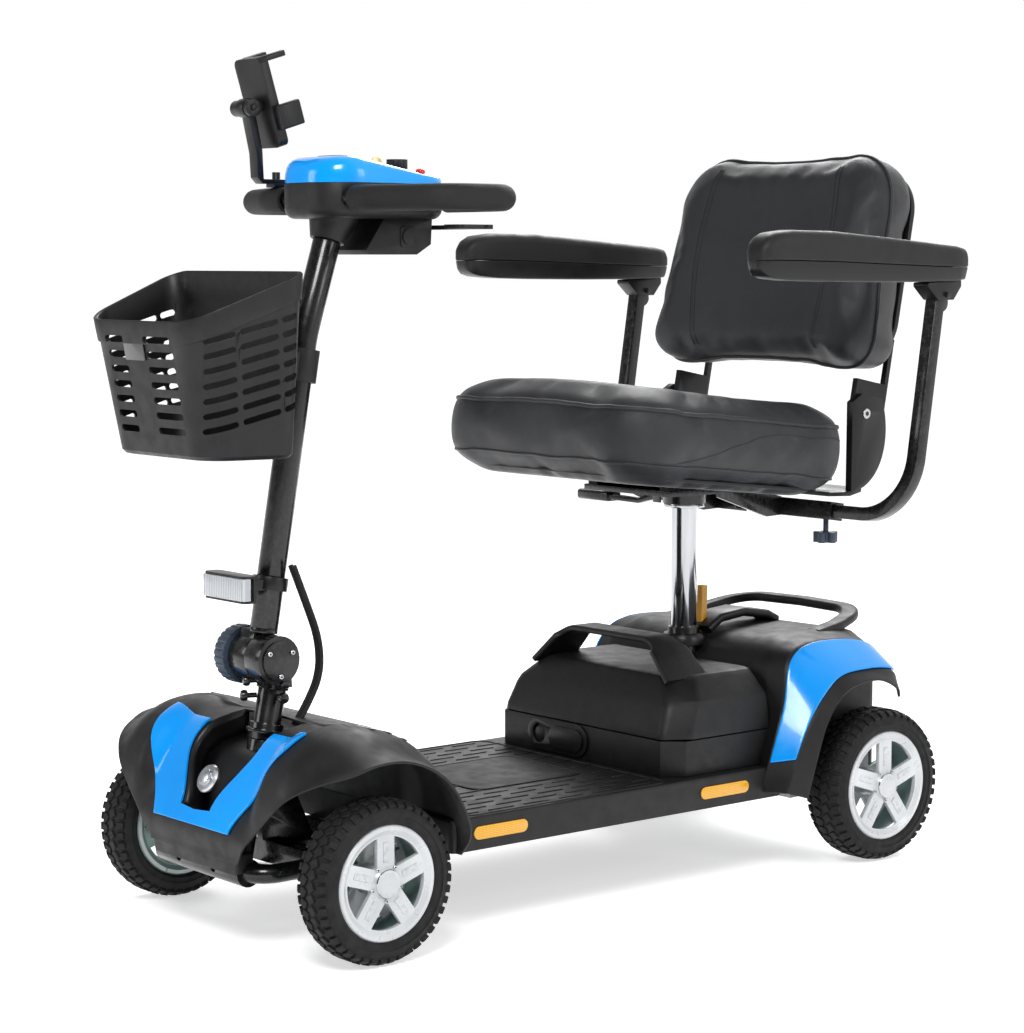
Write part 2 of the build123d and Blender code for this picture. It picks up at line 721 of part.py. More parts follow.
LEVER_Z = CONSOLE_BOTTOM - 10
with BuildPart() as throttle_lever:
    with BuildSketch(Plane.XY.offset(LEVER_Z - 4)):
        with Locations((0, -162)):
            RectangleRounded(300, 16, 7)
        with Locations((130, -190), (-130, -190)):
            RectangleRounded(40, 50, 10)
    extrude(amount=6)
    with BuildSketch(Plane.XY.offset(LEVER_Z + 2)):
        with Locations((0, -162)):
            Circle(8)
    extrude(amount=CONSOLE_BOTTOM - LEVER_Z - 2 - GAP)
save(throttle_lever, "throttle_lever")

# ---------------------------------------------------------------- phone holder
PHONE_X = -103.0
FOOT_Z = CONSOLE_TOP + 1.5
with BuildPart() as phone_arm:
    with BuildSketch(side_plane(PHONE_X - 9)):
        with BuildLine():
            Polyline(
                (-318, FOOT_Z),
                (-364, FOOT_Z),
                (-372, FOOT_Z + 8),
                (-374, 1045),
                (-386, 1098),
                (-376, 1104),
                (-364, 1050),
                (-362, FOOT_Z + 6),
                (-318, FOOT_Z + 6),
                close=True,
            )
        make_face()
    extrude(amount=18)
    with BuildSketch(side_plane(PHONE_X - 9)):
        with Locations((-384, 1106)):
            Circle(13)
    extrude(amount=18)
    with BuildSketch(Plane.XY.offset(FOOT_Z + 6)):
        with Locations((PHONE_X, -336)):
            Circle(5.5)
    extrude(amount=10)
    with BuildSketch(Plane.XY.offset(BAR_Z + GRIP_R)):
        with Locations((PHONE_X, -336)):
            Rectangle(20, 20)
    extrude(amount=FOOT_Z - BAR_Z - GRIP_R)
    with BuildSketch(side_plane(PHONE_X - 24)):
        with Locations((-384, 1106)):
            Circle(11)
    extrude(amount=15)
    with BuildSketch(side_plane(PHONE_X)):
        with Locations((-384, 1106)):
            Circle(4)
    extrude(amount=20)
save(phone_arm, "phone_arm")

CRADLE_PLANE = Plane(origin=(PHONE_X, -366, 1112), x_dir=(1, 0, 0), z_dir=(0, 0.956, 0.292))
with BuildPart() as phone_cradle:
    with BuildSketch(CRADLE_PLANE):
        with Locations((0, 0)):
            RectangleRounded(62, 124, 10)
    extrude(amount=14)
    with BuildSketch(CRADLE_PLANE.offset(14)):
        with Locations((-22, -58), (22, -58)):
            RectangleRounded(12, 8, 2)
    extrude(amount=32)
    with BuildSketch(CRADLE_PLANE.offset(14)):
        with Locations((-36, 22)):
            RectangleRounded(8, 34, 3)
    extrude(amount=26)
    with BuildSketch(CRADLE_PLANE):
        with Locations((-33, 22)):
            RectangleRounded(14, 34, 3)
    extrude(amount=14)
    with BuildSketch(side_plane(PHONE_X + 9 + GAP)):
        with Locations((-384, 1106)):
            Circle(12)
            Circle(4 + RUN, mode=Mode.SUBTRACT)
    extrude(amount=9)
    with Locations((PHONE_X + 9 + GAP + 4.5, -373, 1109)):
        Box(9, 10, 12)
save(phone_cradle, "phone_cradle")

with BuildPart() as phone_jaw:
    with BuildSketch(CRADLE_PLANE.offset(3)):
        with Locations((37.5, 22)):
            RectangleRounded(12, 34, 3)
    extrude(amount=37)
save(phone_jaw, "phone_jaw")


# ---------------------------------------------------------------- basket
def basket_outline(back_half, front_half, front_y, inset):
    """The plan of the basket: wide at the tiller, narrower in front, round at the corners."""
    with BuildSketch() as plan:
        Polygon(
            (-back_half + inset, BASKET_BACK_Y - inset),
            (back_half - inset, BASKET_BACK_Y - inset),
            (front_half - inset, front_y + inset),
            (-front_half + inset, front_y + inset),
            align=None,
        )
        fillet(plan.vertices(), radius=34 - inset)
    return plan.sketch


SLOT_H = 9.0
SLOT_PITCH = 19.0
with BuildPart() as basket:
    with BuildSketch(Plane.XY.offset(BASKET_BOTTOM)):
        add(basket_outline(136, 116, BASKET_FRONT_BOTTOM_Y, 0))
    with BuildSketch(Plane.XY.offset(BASKET_TOP)):
        add(basket_outline(160, 134, BASKET_FRONT_TOP_Y, 0))
    loft()
    with BuildSketch(Plane.XY.offset(BASKET_BOTTOM + BASKET_WALL)):
        add(basket_outline(136, 116, BASKET_FRONT_BOTTOM_Y, BASKET_WALL))
    with BuildSketch(Plane.XY.offset(BASKET_TOP)):
        add(basket_outline(160, 134, BASKET_FRONT_TOP_Y, BASKET_WALL))
    loft(mode=Mode.SUBTRACT)
    with BuildSketch(side_plane(-200)):
        Polygon((-450, 890), (-700, 794), (-700, 950), (-450, 950), align=None)
    extrude(amount=400, mode=Mode.SUBTRACT)
    with BuildSketch(Plane.XZ.offset(540)):
        with Locations((-62, 740), (28, 740)):
            with GridLocations(1, SLOT_PITCH, 1, 7):
                SlotOverall(46, SLOT_H)
    extrude(amount=120, mode=Mode.SUBTRACT)
    with BuildSketch(side_plane(-200)):
        for column, low in ((-566, 716), (-530, 726), (-494, 740)):
            with Locations((column, low + 3.5 * SLOT_PITCH)):
                with GridLocations(1, SLOT_PITCH, 1, 7):
                    SlotOverall(28, SLOT_H, rotation=8)
    extrude(amount=400, mode=Mode.SUBTRACT)
save(basket, "basket")

BRACKET_Z = 790.0
BRACKET_PLANE = tiller_plane(BRACKET_Z - 30)
with BuildPart() as basket_bracket:
    with BuildSketch(BRACKET_PLANE):
        Circle(TILLER_R + 6)
    extrude(amount=22, both=True)
    with Locations((0, -410, BRACKET_Z - 30)):
        Box(40, 98, 36)
    with BuildSketch(BRACKET_PLANE):
        Circle(TILLER_R)
    extrude(amount=40, both=True, mode=Mode.SUBTRACT)
save(basket_bracket, "basket_bracket")


# ---------------------------------------------------------------- tiller cables
CABLE_R = 3.5
CABLE_POINTS = (
    (-406, 494),
    (-383, 440),
    (-364, 392),
    (-362, 345),
    (-383, 305),
    (-404, 277),
)
CABLE_RADII = []
for place in range(1, len(CABLE_POINTS) - 1):
    before = Vector(*CABLE_POINTS[place - 1])
    here = Vector(*CABLE_POINTS[place])
    after = Vector(*CABLE_POINTS[place + 1])
    first_run = here - before
    second_run = after - here
    half_turn = math.radians(first_run.get_angle(second_run)) / 2
    CABLE_RADII.append(0.45 * min(first_run.length, second_run.length) / math.tan(half_turn))
print("cable arc radii", [round(radius, 1) for radius in CABLE_RADII])
with BuildPart() as tiller_cables:
    for cable_x in (26.0, 34.0):
        route = [(cable_x, y, z) for y, z in CABLE_POINTS]
        with BuildLine() as cable_line:
            FilletPolyline(*route, radius=CABLE_RADII)
        with BuildSketch(Plane(origin=cable_line.line @ 0, z_dir=cable_line.line % 0)):
            Circle(CABLE_R)
        sweep(path=cable_line.line)
        print("cable length", round(sum(edge.length for edge in cable_line.edges()), 1))
save(tiller_cables, "tiller_cables")


# ---------------------------------------------------------------- deck
with BuildPart() as deck_tray:
    with BuildSketch(Plane.XY.offset(DECK_BOTTOM)):
        with Locations((0, (DECK_FRONT_Y + DECK_REAR_Y) / 2)):
            RectangleRounded(2 * DECK_HALF, DECK_REAR_Y - DECK_FRONT_Y, 10)
    extrude(amount=DECK_TOP - DECK_BOTTOM)
    fillet(deck_tray.faces().sort_by(Axis.Z)[-1].edges(), radius=5)
    with BuildSketch(Plane.XY.offset(DECK_BOTTOM)):
        with Locations((0, (DECK_FRONT_Y + DECK_REAR_Y) / 2)):
            Rectangle(2 * (DECK_HALF - DECK_WALL), DECK_REAR_Y - DECK_FRONT_Y - 2 * DECK_WALL)
    extrude(amount=DECK_TOP - DECK_BOTTOM - DECK_WALL, mode=Mode.SUBTRACT)
    for rail_x in (-RAIL_X, RAIL_X):
        with BuildSketch(Plane.XY.offset(DECK_BOTTOM)):
            with Locations((rail_x, (DECK_FRONT_Y + DECK_REAR_Y) / 2)):
                Rectangle(RAIL_W, DECK_REAR_Y - DECK_FRONT_Y - 4)
        extrude(amount=DECK_TOP - DECK_BOTTOM - 2)
    with Locations((0, POST_Y, DECK_TOP)):
        Cylinder(SOCKET_R + SEAT_GAP, 120, mode=Mode.SUBTRACT)
save(deck_tray, "deck_tray")

REFLECTOR_Y = ((-201.5, 93.0), (214.5, 95.0))
with BuildPart() as side_reflectors:
    for side_name, side in SIDES:
        for middle_y, length in REFLECTOR_Y:
            with BuildSketch(side_plane(side * DECK_HALF)):
                with Locations((middle_y, 140)):
                    SlotOverall(length, 18)
            extrude(amount=side * 2)
save(side_reflectors, "side_reflectors")


# ---------------------------------------------------------------- front fairing
FAIRING_WALL = 4.0
FAIRING_HALF = 139.0


def fairing_profile(grow):
    """The side outline of the front body, swollen by grow."""
    with BuildSketch() as side_view:
        Polygon(
            (-280, 100),
            (-548, 100),
            (-552, 150),
            (-474, 274),
            (-404, 288),
            (-330, 276),
            (-286, 180),
            align=None,
        )
        fillet(side_view.vertices().filter_by_position(Axis.Y, 200, 400), radius=34)
        if grow:
            offset(amount=grow, kind=Kind.INTERSECTION)
    return side_view.sketch


def fairing_plan(inset):
    """The plan of the front body: narrow at the nose, wide over the axle."""
    with BuildSketch() as plan:
        Polygon(
            (-94 + inset, -570),
            (94 - inset, -570),
            (94 - inset, -548),
            (FAIRING_HALF - inset, -488),
            (FAIRING_HALF - inset, DECK_FRONT_Y - 1 - inset),
            (-FAIRING_HALF + inset, DECK_FRONT_Y - 1 - inset),
            (-FAIRING_HALF + inset, -488),
            (-94 + inset, -548),
            align=None,
        )
    return plan.sketch


FENDER_R = 156.0
FENDER_WALL = 4.0
with BuildPart() as fairing_void:
    with BuildSketch(side_plane(-200)):
        add(fairing_profile(-FAIRING_WALL))
    extrude(amount=400)
    with BuildSketch(Plane.XY):
        add(fairing_plan(FAIRING_WALL))
    extrude(amount=400, mode=Mode.INTERSECT)
    with BuildSketch(Plane.XY.offset(60)):
        with Locations((0, -420)):
            Rectangle(2 * (FAIRING_HALF - FAIRING_WALL), 250)
    extrude(amount=90)

with BuildPart() as front_fairing:
    with BuildSketch(side_plane(-200)):
        add(fairing_profile(0))
    extrude(amount=400)
    with BuildSketch(Plane.XY.offset(127)):
        add(fairing_plan(0))
    extrude(amount=200, mode=Mode.INTERSECT)
    add(fairing_void.part, mode=Mode.SUBTRACT)
    for side_name, side in SIDES:
        with BuildPart(mode=Mode.PRIVATE) as fender:
            with BuildSketch(side_plane(side * (FAIRING_HALF - 3))):
                with Locations((FRONT_AXLE_Y, AXLE_Z)):
                    Circle(FENDER_R)
                    Circle(FENDER_R - FENDER_WALL, mode=Mode.SUBTRACT)
            extrude(amount=side * 140)
            with BuildSketch(Plane.XY.offset(116)):
                Polygon(
                    (side * (FAIRING_HALF - 3), -500),
                    (side * 228, -500),
                    (side * 274, -440),
                    (side * 274, -300),
                    (side * 262, -250),
                    (side * (FAIRING_HALF - 3), -250),
                    align=None,
                )
            extrude(amount=220, mode=Mode.INTERSECT)
        add(fender.part)
    with Locations((0, DECK_FRONT_Y + 100 - 4, 63.5)):
        Box(2 * DECK_HALF + 3, 200, 200, mode=Mode.SUBTRACT)
    with BuildSketch(Plane.XZ.offset(380)):
        Polygon((-32, 180), (32, 180), (74, 272), (74, 320), (-74, 320), (-74, 272), align=None)
    extrude(amount=200, mode=Mode.SUBTRACT)
save(front_fairing, "front_fairing")

with BuildPart() as front_trim:
    with BuildSketch(side_plane(-200)):
        add(fairing_profile(2.5))
        add(fairing_profile(0), mode=Mode.SUBTRACT)
    extrude(amount=400)
    with BuildSketch(Plane.XZ.offset(440)):
        Polygon(
            (-85, 150),
            (85, 150),
            (150, 264),
            (78, 266),
            (36, 176),
            (-36, 176),
            (-78, 266),
            (-150, 264),
            align=None,
        )
    extrude(amount=140, mode=Mode.INTERSECT)
    with BuildSketch(Plane.XY):
        add(fairing_plan(1))
    extrude(amount=400, mode=Mode.INTERSECT)
save(front_trim, "front_trim")

BUMPER_R = 12.5
BUMPER_Z = 106.0
BUMPER_Y = -526.0
with BuildPart() as front_bumper:
    with BuildLine() as bumper_line:
        FilletPolyline(
            (-122, FRONT_AXLE_Y - BEAM_W / 2, BUMPER_Z),
            (-122, BUMPER_Y, BUMPER_Z),
            (122, BUMPER_Y, BUMPER_Z),
            (122, FRONT_AXLE_Y - BEAM_W / 2, BUMPER_Z),
            radius=32,
        )
    with BuildSketch(Plane(origin=bumper_line.line @ 0, z_dir=bumper_line.line % 0)):
        Circle(BUMPER_R)
    sweep(path=bumper_line.line)
    with BuildSketch(side_plane(-100)):
        with Locations((BUMPER_Y, BUMPER_Z)):
            Circle(BUMPER_R + 6)
    extrude(amount=200)
    with Locations((-42, BUMPER_Y - 12, BUMPER_Z), (42, BUMPER_Y - 12, BUMPER_Z)):
        with Locations(Rot(90, 0, 0)):
            Cylinder(6, 20, mode=Mode.SUBTRACT)
save(front_bumper, "front_bumper")


# ---------------------------------------------------------------- rear body
REAR_LIP_X = 264.0
WELL_R = REAR_TYRE_R + 15


def rear_profile(grow):
    """The side outline of the rear body, swollen by grow."""
    with BuildSketch() as side_view:
        Polygon(
            (612, 100),
            (336, 100),
            (336, 296),
            (358, 332),
            (440, 341),
            (530, 334),
            (590, 290),
            (612, 236),
            align=None,
        )
        fillet(side_view.vertices().filter_by_position(Axis.Y, 230, 400), radius=18)
        if grow:
            offset(amount=grow, kind=Kind.INTERSECTION)
    return side_view.sketch


def rear_section(grow):
    """The end outline of the rear body, swollen by grow."""
    with BuildSketch() as end_view:
        Polygon(
            (-203, 100),
            (203, 100),
            (222, 180),
            (REAR_LIP_X, 236),
            (REAR_LIP_X - 2, 252),
            (206, 304),
            (150, 345),
            (-150, 345),
            (-206, 304),
            (-REAR_LIP_X + 2, 252),
            (-REAR_LIP_X, 236),
            (-222, 180),
            align=None,
        )
        if grow:
            offset(amount=grow, kind=Kind.INTERSECTION)
    return end_view.sketch


REAR_WALL = 4.0
BEHIND = Plane(origin=(0, 300, 0), x_dir=(-1, 0, 0), z_dir=(0, 1, 0))
with BuildPart() as rear_body:
    with BuildSketch(side_plane(-300)):
        add(rear_profile(0))
    extrude(amount=600)
    with BuildSketch(BEHIND):
        add(rear_section(0))
    extrude(amount=400, mode=Mode.INTERSECT)
    with Locations((0, 470, 50)):
        Box(700, 400, 136, mode=Mode.SUBTRACT)
    for side_name, side in SIDES:
        with BuildSketch(side_plane(side * 190)):
            with Locations((REAR_AXLE_Y, REAR_TYRE_R)):
                Circle(WELL_R)
        extrude(amount=side * 120, mode=Mode.SUBTRACT)
        with BuildSketch(side_plane(side * 190)):
            Polygon((470, 60), (640, 60), (640, 232), (560, 232), align=None)
        extrude(amount=side * 120, mode=Mode.SUBTRACT)
    with BuildSketch(Plane.XY.offset(60)):
        with Locations((0, 480)):
            Rectangle(372, 212)
    extrude(amount=226, mode=Mode.SUBTRACT)
    with BuildSketch(Plane.XY.offset(60)):
        with Locations((0, 470)):
            Rectangle(300, 300)
    extrude(amount=160, mode=Mode.SUBTRACT)
    with Locations((0, POST_Y, 250)):
        Cylinder(SOCKET_R + 4, 500, mode=Mode.SUBTRACT)
    with BuildSketch(side_plane(-300)):
        with Locations((REAR_AXLE_Y, REAR_TYRE_R)):
            Circle(SHAFT_R + 8)
    extrude(amount=600, mode=Mode.SUBTRACT)
    with BuildSketch(Plane.XY.offset(280)):
        with Locations((0, 528)):
            RectangleRounded(150, 42, 12)
    extrude(amount=60, mode=Mode.SUBTRACT)
    with Locations((0, 374, 330)):
        Box(20, 32, 60, mode=Mode.SUBTRACT)
save(rear_body, "rear_body")

with BuildPart() as rear_trim:
    with BuildSketch(BEHIND):
        add(rear_section(2.2))
        add(rear_section(0), mode=Mode.SUBTRACT)
    extrude(amount=400)
    with BuildSketch(side_plane(-300)):
        with BuildLine():
            Polyline((372, 318), (500, 318), (562, 268))
            Spline((562, 268), (504, 262), (448, 232), (412, 186))
            Polyline((412, 186), (366, 172), (360, 180), (382, 286), (372, 318))
        make_face()
    extrude(amount=600, mode=Mode.INTERSECT)
    split(bisect_by=Plane.XY.offset(172), keep=Keep.TOP)
save(rear_trim, "rear_trim")

with BuildPart() as freewheel_lever:
    with BuildSketch(side_plane(-6)):
        with Locations((373, 318)):
            Circle(9)
        Polygon((367, 318), (379, 318), (382, 404), (371, 404), align=None)
    extrude(amount=12)
save(freewheel_lever, "freewheel_lever")

with BuildPart() as drive_unit:
    with BuildSketch(side_plane(-140)):
        with Locations((REAR_AXLE_Y, REAR_TYRE_R)):
            Circle(44)
    extrude(amount=280)
    with Locations((0, 485, REAR_TYRE_R)):
        Box(230, 60, 70)
    with BuildSketch(Plane(origin=(60, 455, REAR_TYRE_R + 66), x_dir=(1, 0, 0), z_dir=(0, 1, 0))):
        Circle(38)
    extrude(amount=110)
    with Locations((60, REAR_AXLE_Y, REAR_TYRE_R + 40)):
        Box(50, 50, 50)
    with BuildSketch(side_plane(-REAR_WHEEL_X - 20)):
        with Locations((REAR_AXLE_Y, REAR_TYRE_R)):
            Circle(SHAFT_R)
    extrude(amount=2 * REAR_WHEEL_X + 40)
save(drive_unit, "drive_unit")


# ---------------------------------------------------------------- battery box
def battery_plan(inset):
    """The plan of the battery box, with cut front corners."""
    with BuildSketch() as plan:
        Polygon(
            (-176 + inset, BATTERY_FRONT_Y + inset),
            (176 - inset, BATTERY_FRONT_Y + inset),
            (BATTERY_HALF - inset, BATTERY_FRONT_Y + 28 + inset),
            (BATTERY_HALF - inset, BATTERY_REAR_Y - inset),
            (-BATTERY_HALF + inset, BATTERY_REAR_Y - inset),
            (-BATTERY_HALF + inset, BATTERY_FRONT_Y + 28 + inset),
            align=None,
        )
    return plan.sketch


PORT_MID_X = -48.0
PORT_Z = 190.0
SOCKET_X = -90.0
NOTCH_R = SOCKET_R + 3
with BuildPart() as battery_base:
    with BuildSketch(Plane.XY.offset(DECK_TOP + GAP)):
        add(battery_plan(0))
    extrude(amount=BATTERY_SPLIT_Z - DECK_TOP - GAP)
    with BuildSketch(Plane.XY.offset(DECK_TOP + GAP + BATTERY_WALL)):
        add(battery_plan(BATTERY_WALL))
    extrude(amount=100, mode=Mode.SUBTRACT)
    with Locations((0, POST_Y, 200)):
        Cylinder(NOTCH_R + BATTERY_WALL, 200, mode=Mode.SUBTRACT)
save(battery_base, "battery_base")

with BuildPart() as battery_lid:
    with BuildSketch(Plane(origin=(0, BATTERY_FRONT_Y, 0), x_dir=(-1, 0, 0), z_dir=(0, 1, 0))):
        Polygon(
            (-BATTERY_HALF, BATTERY_SPLIT_Z),
            (-190, 268),
            (-160, BATTERY_TOP_Z),
            (160, BATTERY_TOP_Z),
            (190, 268),
            (BATTERY_HALF, BATTERY_SPLIT_Z),
            align=None,
        )
    extrude(amount=BATTERY_REAR_Y - BATTERY_FRONT_Y)
    with BuildSketch(side_plane(-300)):
        Polygon((90, 200), (130, 200), (129, BATTERY_SPLIT_Z + 2), (164, 286), (250, 320), (90, 320), align=None)
    extrude(amount=600, mode=Mode.SUBTRACT)
    with BuildSketch(Plane.XY.offset(100)):
        add(battery_plan(0))
    extrude(amount=300, mode=Mode.INTERSECT)
    with BuildSketch(Plane.XY.offset(BATTERY_SPLIT_Z)):
        with Locations((0, 240)):
            Rectangle(310, 150)
    extrude(amount=62, mode=Mode.SUBTRACT)
    with Locations((0, POST_Y, 250)):
        Cylinder(NOTCH_R, 200, mode=Mode.SUBTRACT)
    with BuildSketch(Plane(origin=(0, 172, 0), x_dir=(-1, 0, 0), z_dir=(0, 1, 0))):
        Polygon(
            (-140, 290),
            (-74, 351),
            (74, 351),
            (140, 290),
            (104, 290),
            (66, 339),
            (-66, 339),
            (-104, 290),
            align=None,
        )
    extrude(amount=60)
save(battery_lid, "battery_lid")

with BuildPart() as battery_cells:
    cell_z = DECK_TOP + GAP + BATTERY_WALL + 51
    with Locations((-80, 232, cell_z), (80, 232, cell_z)):
        Box(150, 120, 102)
save(battery_cells, "battery_cells")

with BuildPart() as charge_socket:
    with BuildSketch(Plane.XZ.offset(-BATTERY_FRONT_Y)):
        with Locations((PORT_MID_X, PORT_Z)):
            SlotOverall(136, 50)
        with Locations((SOCKET_X, PORT_Z)):
            Circle(14, mode=Mode.SUBTRACT)
    extrude(amount=4)
    with BuildSketch(Plane.XZ.offset(-BATTERY_FRONT_Y)):
        with Locations((SOCKET_X, PORT_Z)):
            Circle(11)
    extrude(amount=2)
save(charge_socket, "charge_socket")

with BuildPart() as port_cover:
    with BuildSketch(Plane.XZ.offset(-BATTERY_FRONT_Y + 4 + GAP)):
        with Locations((PORT_MID_X + 22, PORT_Z)):
            SlotOverall(76, 34)
    extrude(amount=3)
save(port_cover, "port_cover")


# ---------------------------------------------------------------- seat post and seat
with BuildPart() as seat_post:
    with BuildSketch(Plane.XY.offset(POST_FOOT_Z)):
        with Locations((0, POST_Y)):
            Circle(POST_R)
    extrude(amount=POST_TOP_Z - POST_FOOT_Z)
    with BuildSketch(Plane.XY.offset(POST_TOP_Z - 6)):
        with Locations((0, POST_Y)):
            Circle(31)
    extrude(amount=6)
    with BuildSketch(Plane.XY.offset(POST_TOP_Z)):
        with Locations((0, POST_Y)):
            Circle(SPINDLE_R)
    extrude(amount=20)
save(seat_post, "seat_post")

FRAME_TOP = 566.0
with BuildPart() as seat_frame:
    with BuildSketch(Plane.XY.offset(POST_TOP_Z + GAP)):
        with Locations((0, POST_Y)):
            Circle(33)
            Circle(SPINDLE_R + RUN, mode=Mode.SUBTRACT)
    extrude(amount=22)
    with BuildSketch(Plane.XY.offset(POST_TOP_Z + GAP + 21)):
        with Locations((0, 294)):
            Rectangle(190, 152)
    extrude(amount=8)
    for rail_x in (-80, 80):
        with BuildSketch(side_plane(rail_x - 10)):
            Polygon((222, 562), (222, 578.7), (366, 563.5), (366, 562), align=None)
        extrude(amount=20)
    for strut_x in (-70, 70):
        with BuildSketch(side_plane(strut_x - 4)):
            Polygon((340, 554.6), (418, 554.6), (472, 540), (472, 512), (440, 511), (340, 546), align=None)
        extrude(amount=8)
    for side_name, side in SIDES:
        with BuildSketch(side_plane(side * 24)):
            with Locations((ARM_BAR_Y, ARM_BAR_Z)):
                Rectangle(RECEIVER, RECEIVER, rotation=-ARM_LEAN)
        extrude(amount=side * 156)
        with BuildSketch(side_plane(side * 20)):
            with Locations((ARM_BAR_Y, ARM_BAR_Z)):
                Rectangle(ARM_TUBE + 2 * GAP, ARM_TUBE + 2 * GAP, rotation=-ARM_LEAN)
        extrude(amount=side * 170, mode=Mode.SUBTRACT)
        with Locations((side * 158, ARM_BAR_Y, ARM_BAR_Z - RECEIVER / 2)):
            Cylinder(4 + RUN, 8, mode=Mode.SUBTRACT)
    with Locations((-48, POST_Y + 12, 543), (-48, POST_Y - 12, 543)):
        Box(16, 3, 24)
save(seat_frame, "seat_frame")

TILT = math.radians(SEAT_TILT)
SEAT_PLANE = Plane(
    origin=(0, SEAT_MID_Y, SEAT_BASE_Z), x_dir=(1, 0, 0), z_dir=(0, math.sin(TILT), math.cos(TILT))
)
with BuildPart() as seat_cushion:
    with BuildSketch(SEAT_PLANE):
        RectangleRounded(2 * SEAT_HALF, 2 * SEAT_HALF, 86)
    extrude(amount=SEAT_THICK)
    fillet(seat_cushion.faces().sort_by(Axis.Z)[-1].edges(), radius=26)
save(seat_cushion, "seat_cushion")

EAR_X = 200.0
with BuildPart() as seat_shell:
    with BuildSketch(SEAT_PLANE.offset(-5)):
        RectangleRounded(2 * SEAT_HALF - 30, 2 * SEAT_HALF - 30, 72)
    extrude(amount=4.7)
    for side_name, side in SIDES:
        with BuildSketch(side_plane(side * (EAR_X + 1))):
            with BuildLine():
                Polyline((478, 556), (500, 560))
                Spline((500, 560), (538, 592), (552, 640), (542, 694))
                Polyline((542, 694), (500, 702), (479, 690), (478, 556))
            make_face()
        extrude(amount=side * 12)
        with BuildSketch(side_plane(side * (EAR_X - 10))):
            with Locations((HINGE_Y, HINGE_Z)):
                Circle(HINGE_R)
        extrude(amount=side * 25)
    with BuildSketch(side_plane(-EAR_X - 13)):
        Polygon((430, 552), (430, 558), (474, 556.5), (500, 562), (500, 555), (476, 550), align=None)
    extrude(amount=2 * EAR_X + 26)
save(seat_shell, "seat_shell")

BACK_PLANE = lean_plane(HINGE_Y, HINGE_Z, BACK_LEAN)
BACK_MID = (BACK_LOW + BACK_HIGH) / 2
with BuildPart() as backrest_cushion:
    with BuildSketch(BACK_PLANE.offset(BACK_REAR)):
        with Locations((0, BACK_MID)):
            RectangleRounded(2 * BACK_HALF, BACK_HIGH - BACK_LOW, 80)
    extrude(amount=BACK_FRONT - BACK_REAR)
    fillet(backrest_cushion.edges().group_by(Axis.Y)[0], radius=20)
save(backrest_cushion, "backrest_cushion")

with BuildPart() as backrest_shell:
    with BuildSketch(BACK_PLANE.offset(BACK_REAR - BACK_SHELL - 0.2)):
        with Locations((0, BACK_MID)):
            RectangleRounded(2 * BACK_HALF - 30, BACK_HIGH - BACK_LOW - 30, 66)
    extrude(amount=BACK_SHELL)
    for side_name, side in SIDES:
        with BuildSketch(BACK_PLANE.offset(BACK_REAR - BACK_SHELL - 0.2)):
            with Locations((side * (EAR_X - 6), BACK_LOW / 2 + 20)):
                Rectangle(10, BACK_LOW + 70)
        extrude(amount=BACK_SHELL)
        with BuildSketch(BACK_PLANE.offset(BACK_REAR - BACK_SHELL - 0.2)):
            with Locations((side * (EAR_X - 6), 18)):
                Rectangle(10, 66)
        extrude(amount=-BACK_REAR + BACK_SHELL + 14)
        with BuildSketch(side_plane(side * (EAR_X - 20))):
            with Locations((HINGE_Y, HINGE_Z)):
                Circle(HINGE_R + RUN)
        extrude(amount=side * 40, mode=Mode.SUBTRACT)
save(backrest_shell, "backrest_shell")

with BuildPart() as swivel_lever:
    with BuildSketch(Plane.XZ.offset(-POST_Y - 3)):
        with BuildLine():
            Polyline((-42, 544), (-54, 550), (-95, 534), (-232, 536), (-232, 528), (-95, 526), (-54, 536))
            Line((-54, 536), (-42, 544))
        make_face()
    extrude(amount=13)
    with BuildSketch(Plane.YZ.offset(-232)):
        with Locations((POST_Y, 532)):
            RectangleRounded(30, 16, 5)
    extrude(amount=70)
save(swivel_lever, "swivel_lever")

for side_name, side in SIDES:
    with BuildPart() as star_knob:
        with BuildSketch(Plane.XY.offset(ARM_BAR_Z - ARM_TUBE / 2 - GAP - 0.9)):
            with Locations((side * 158, ARM_BAR_Y)):
                Circle(4)
        extrude(amount=-22)
        with BuildSketch(Plane.XY.offset(492)):
            with Locations((side * 158, ARM_BAR_Y)):
                Circle(11)
                with PolarLocations(13, 5):
                    Circle(6)
        extrude(amount=-16)
    save(star_knob, f"star_knob_{side_name}")

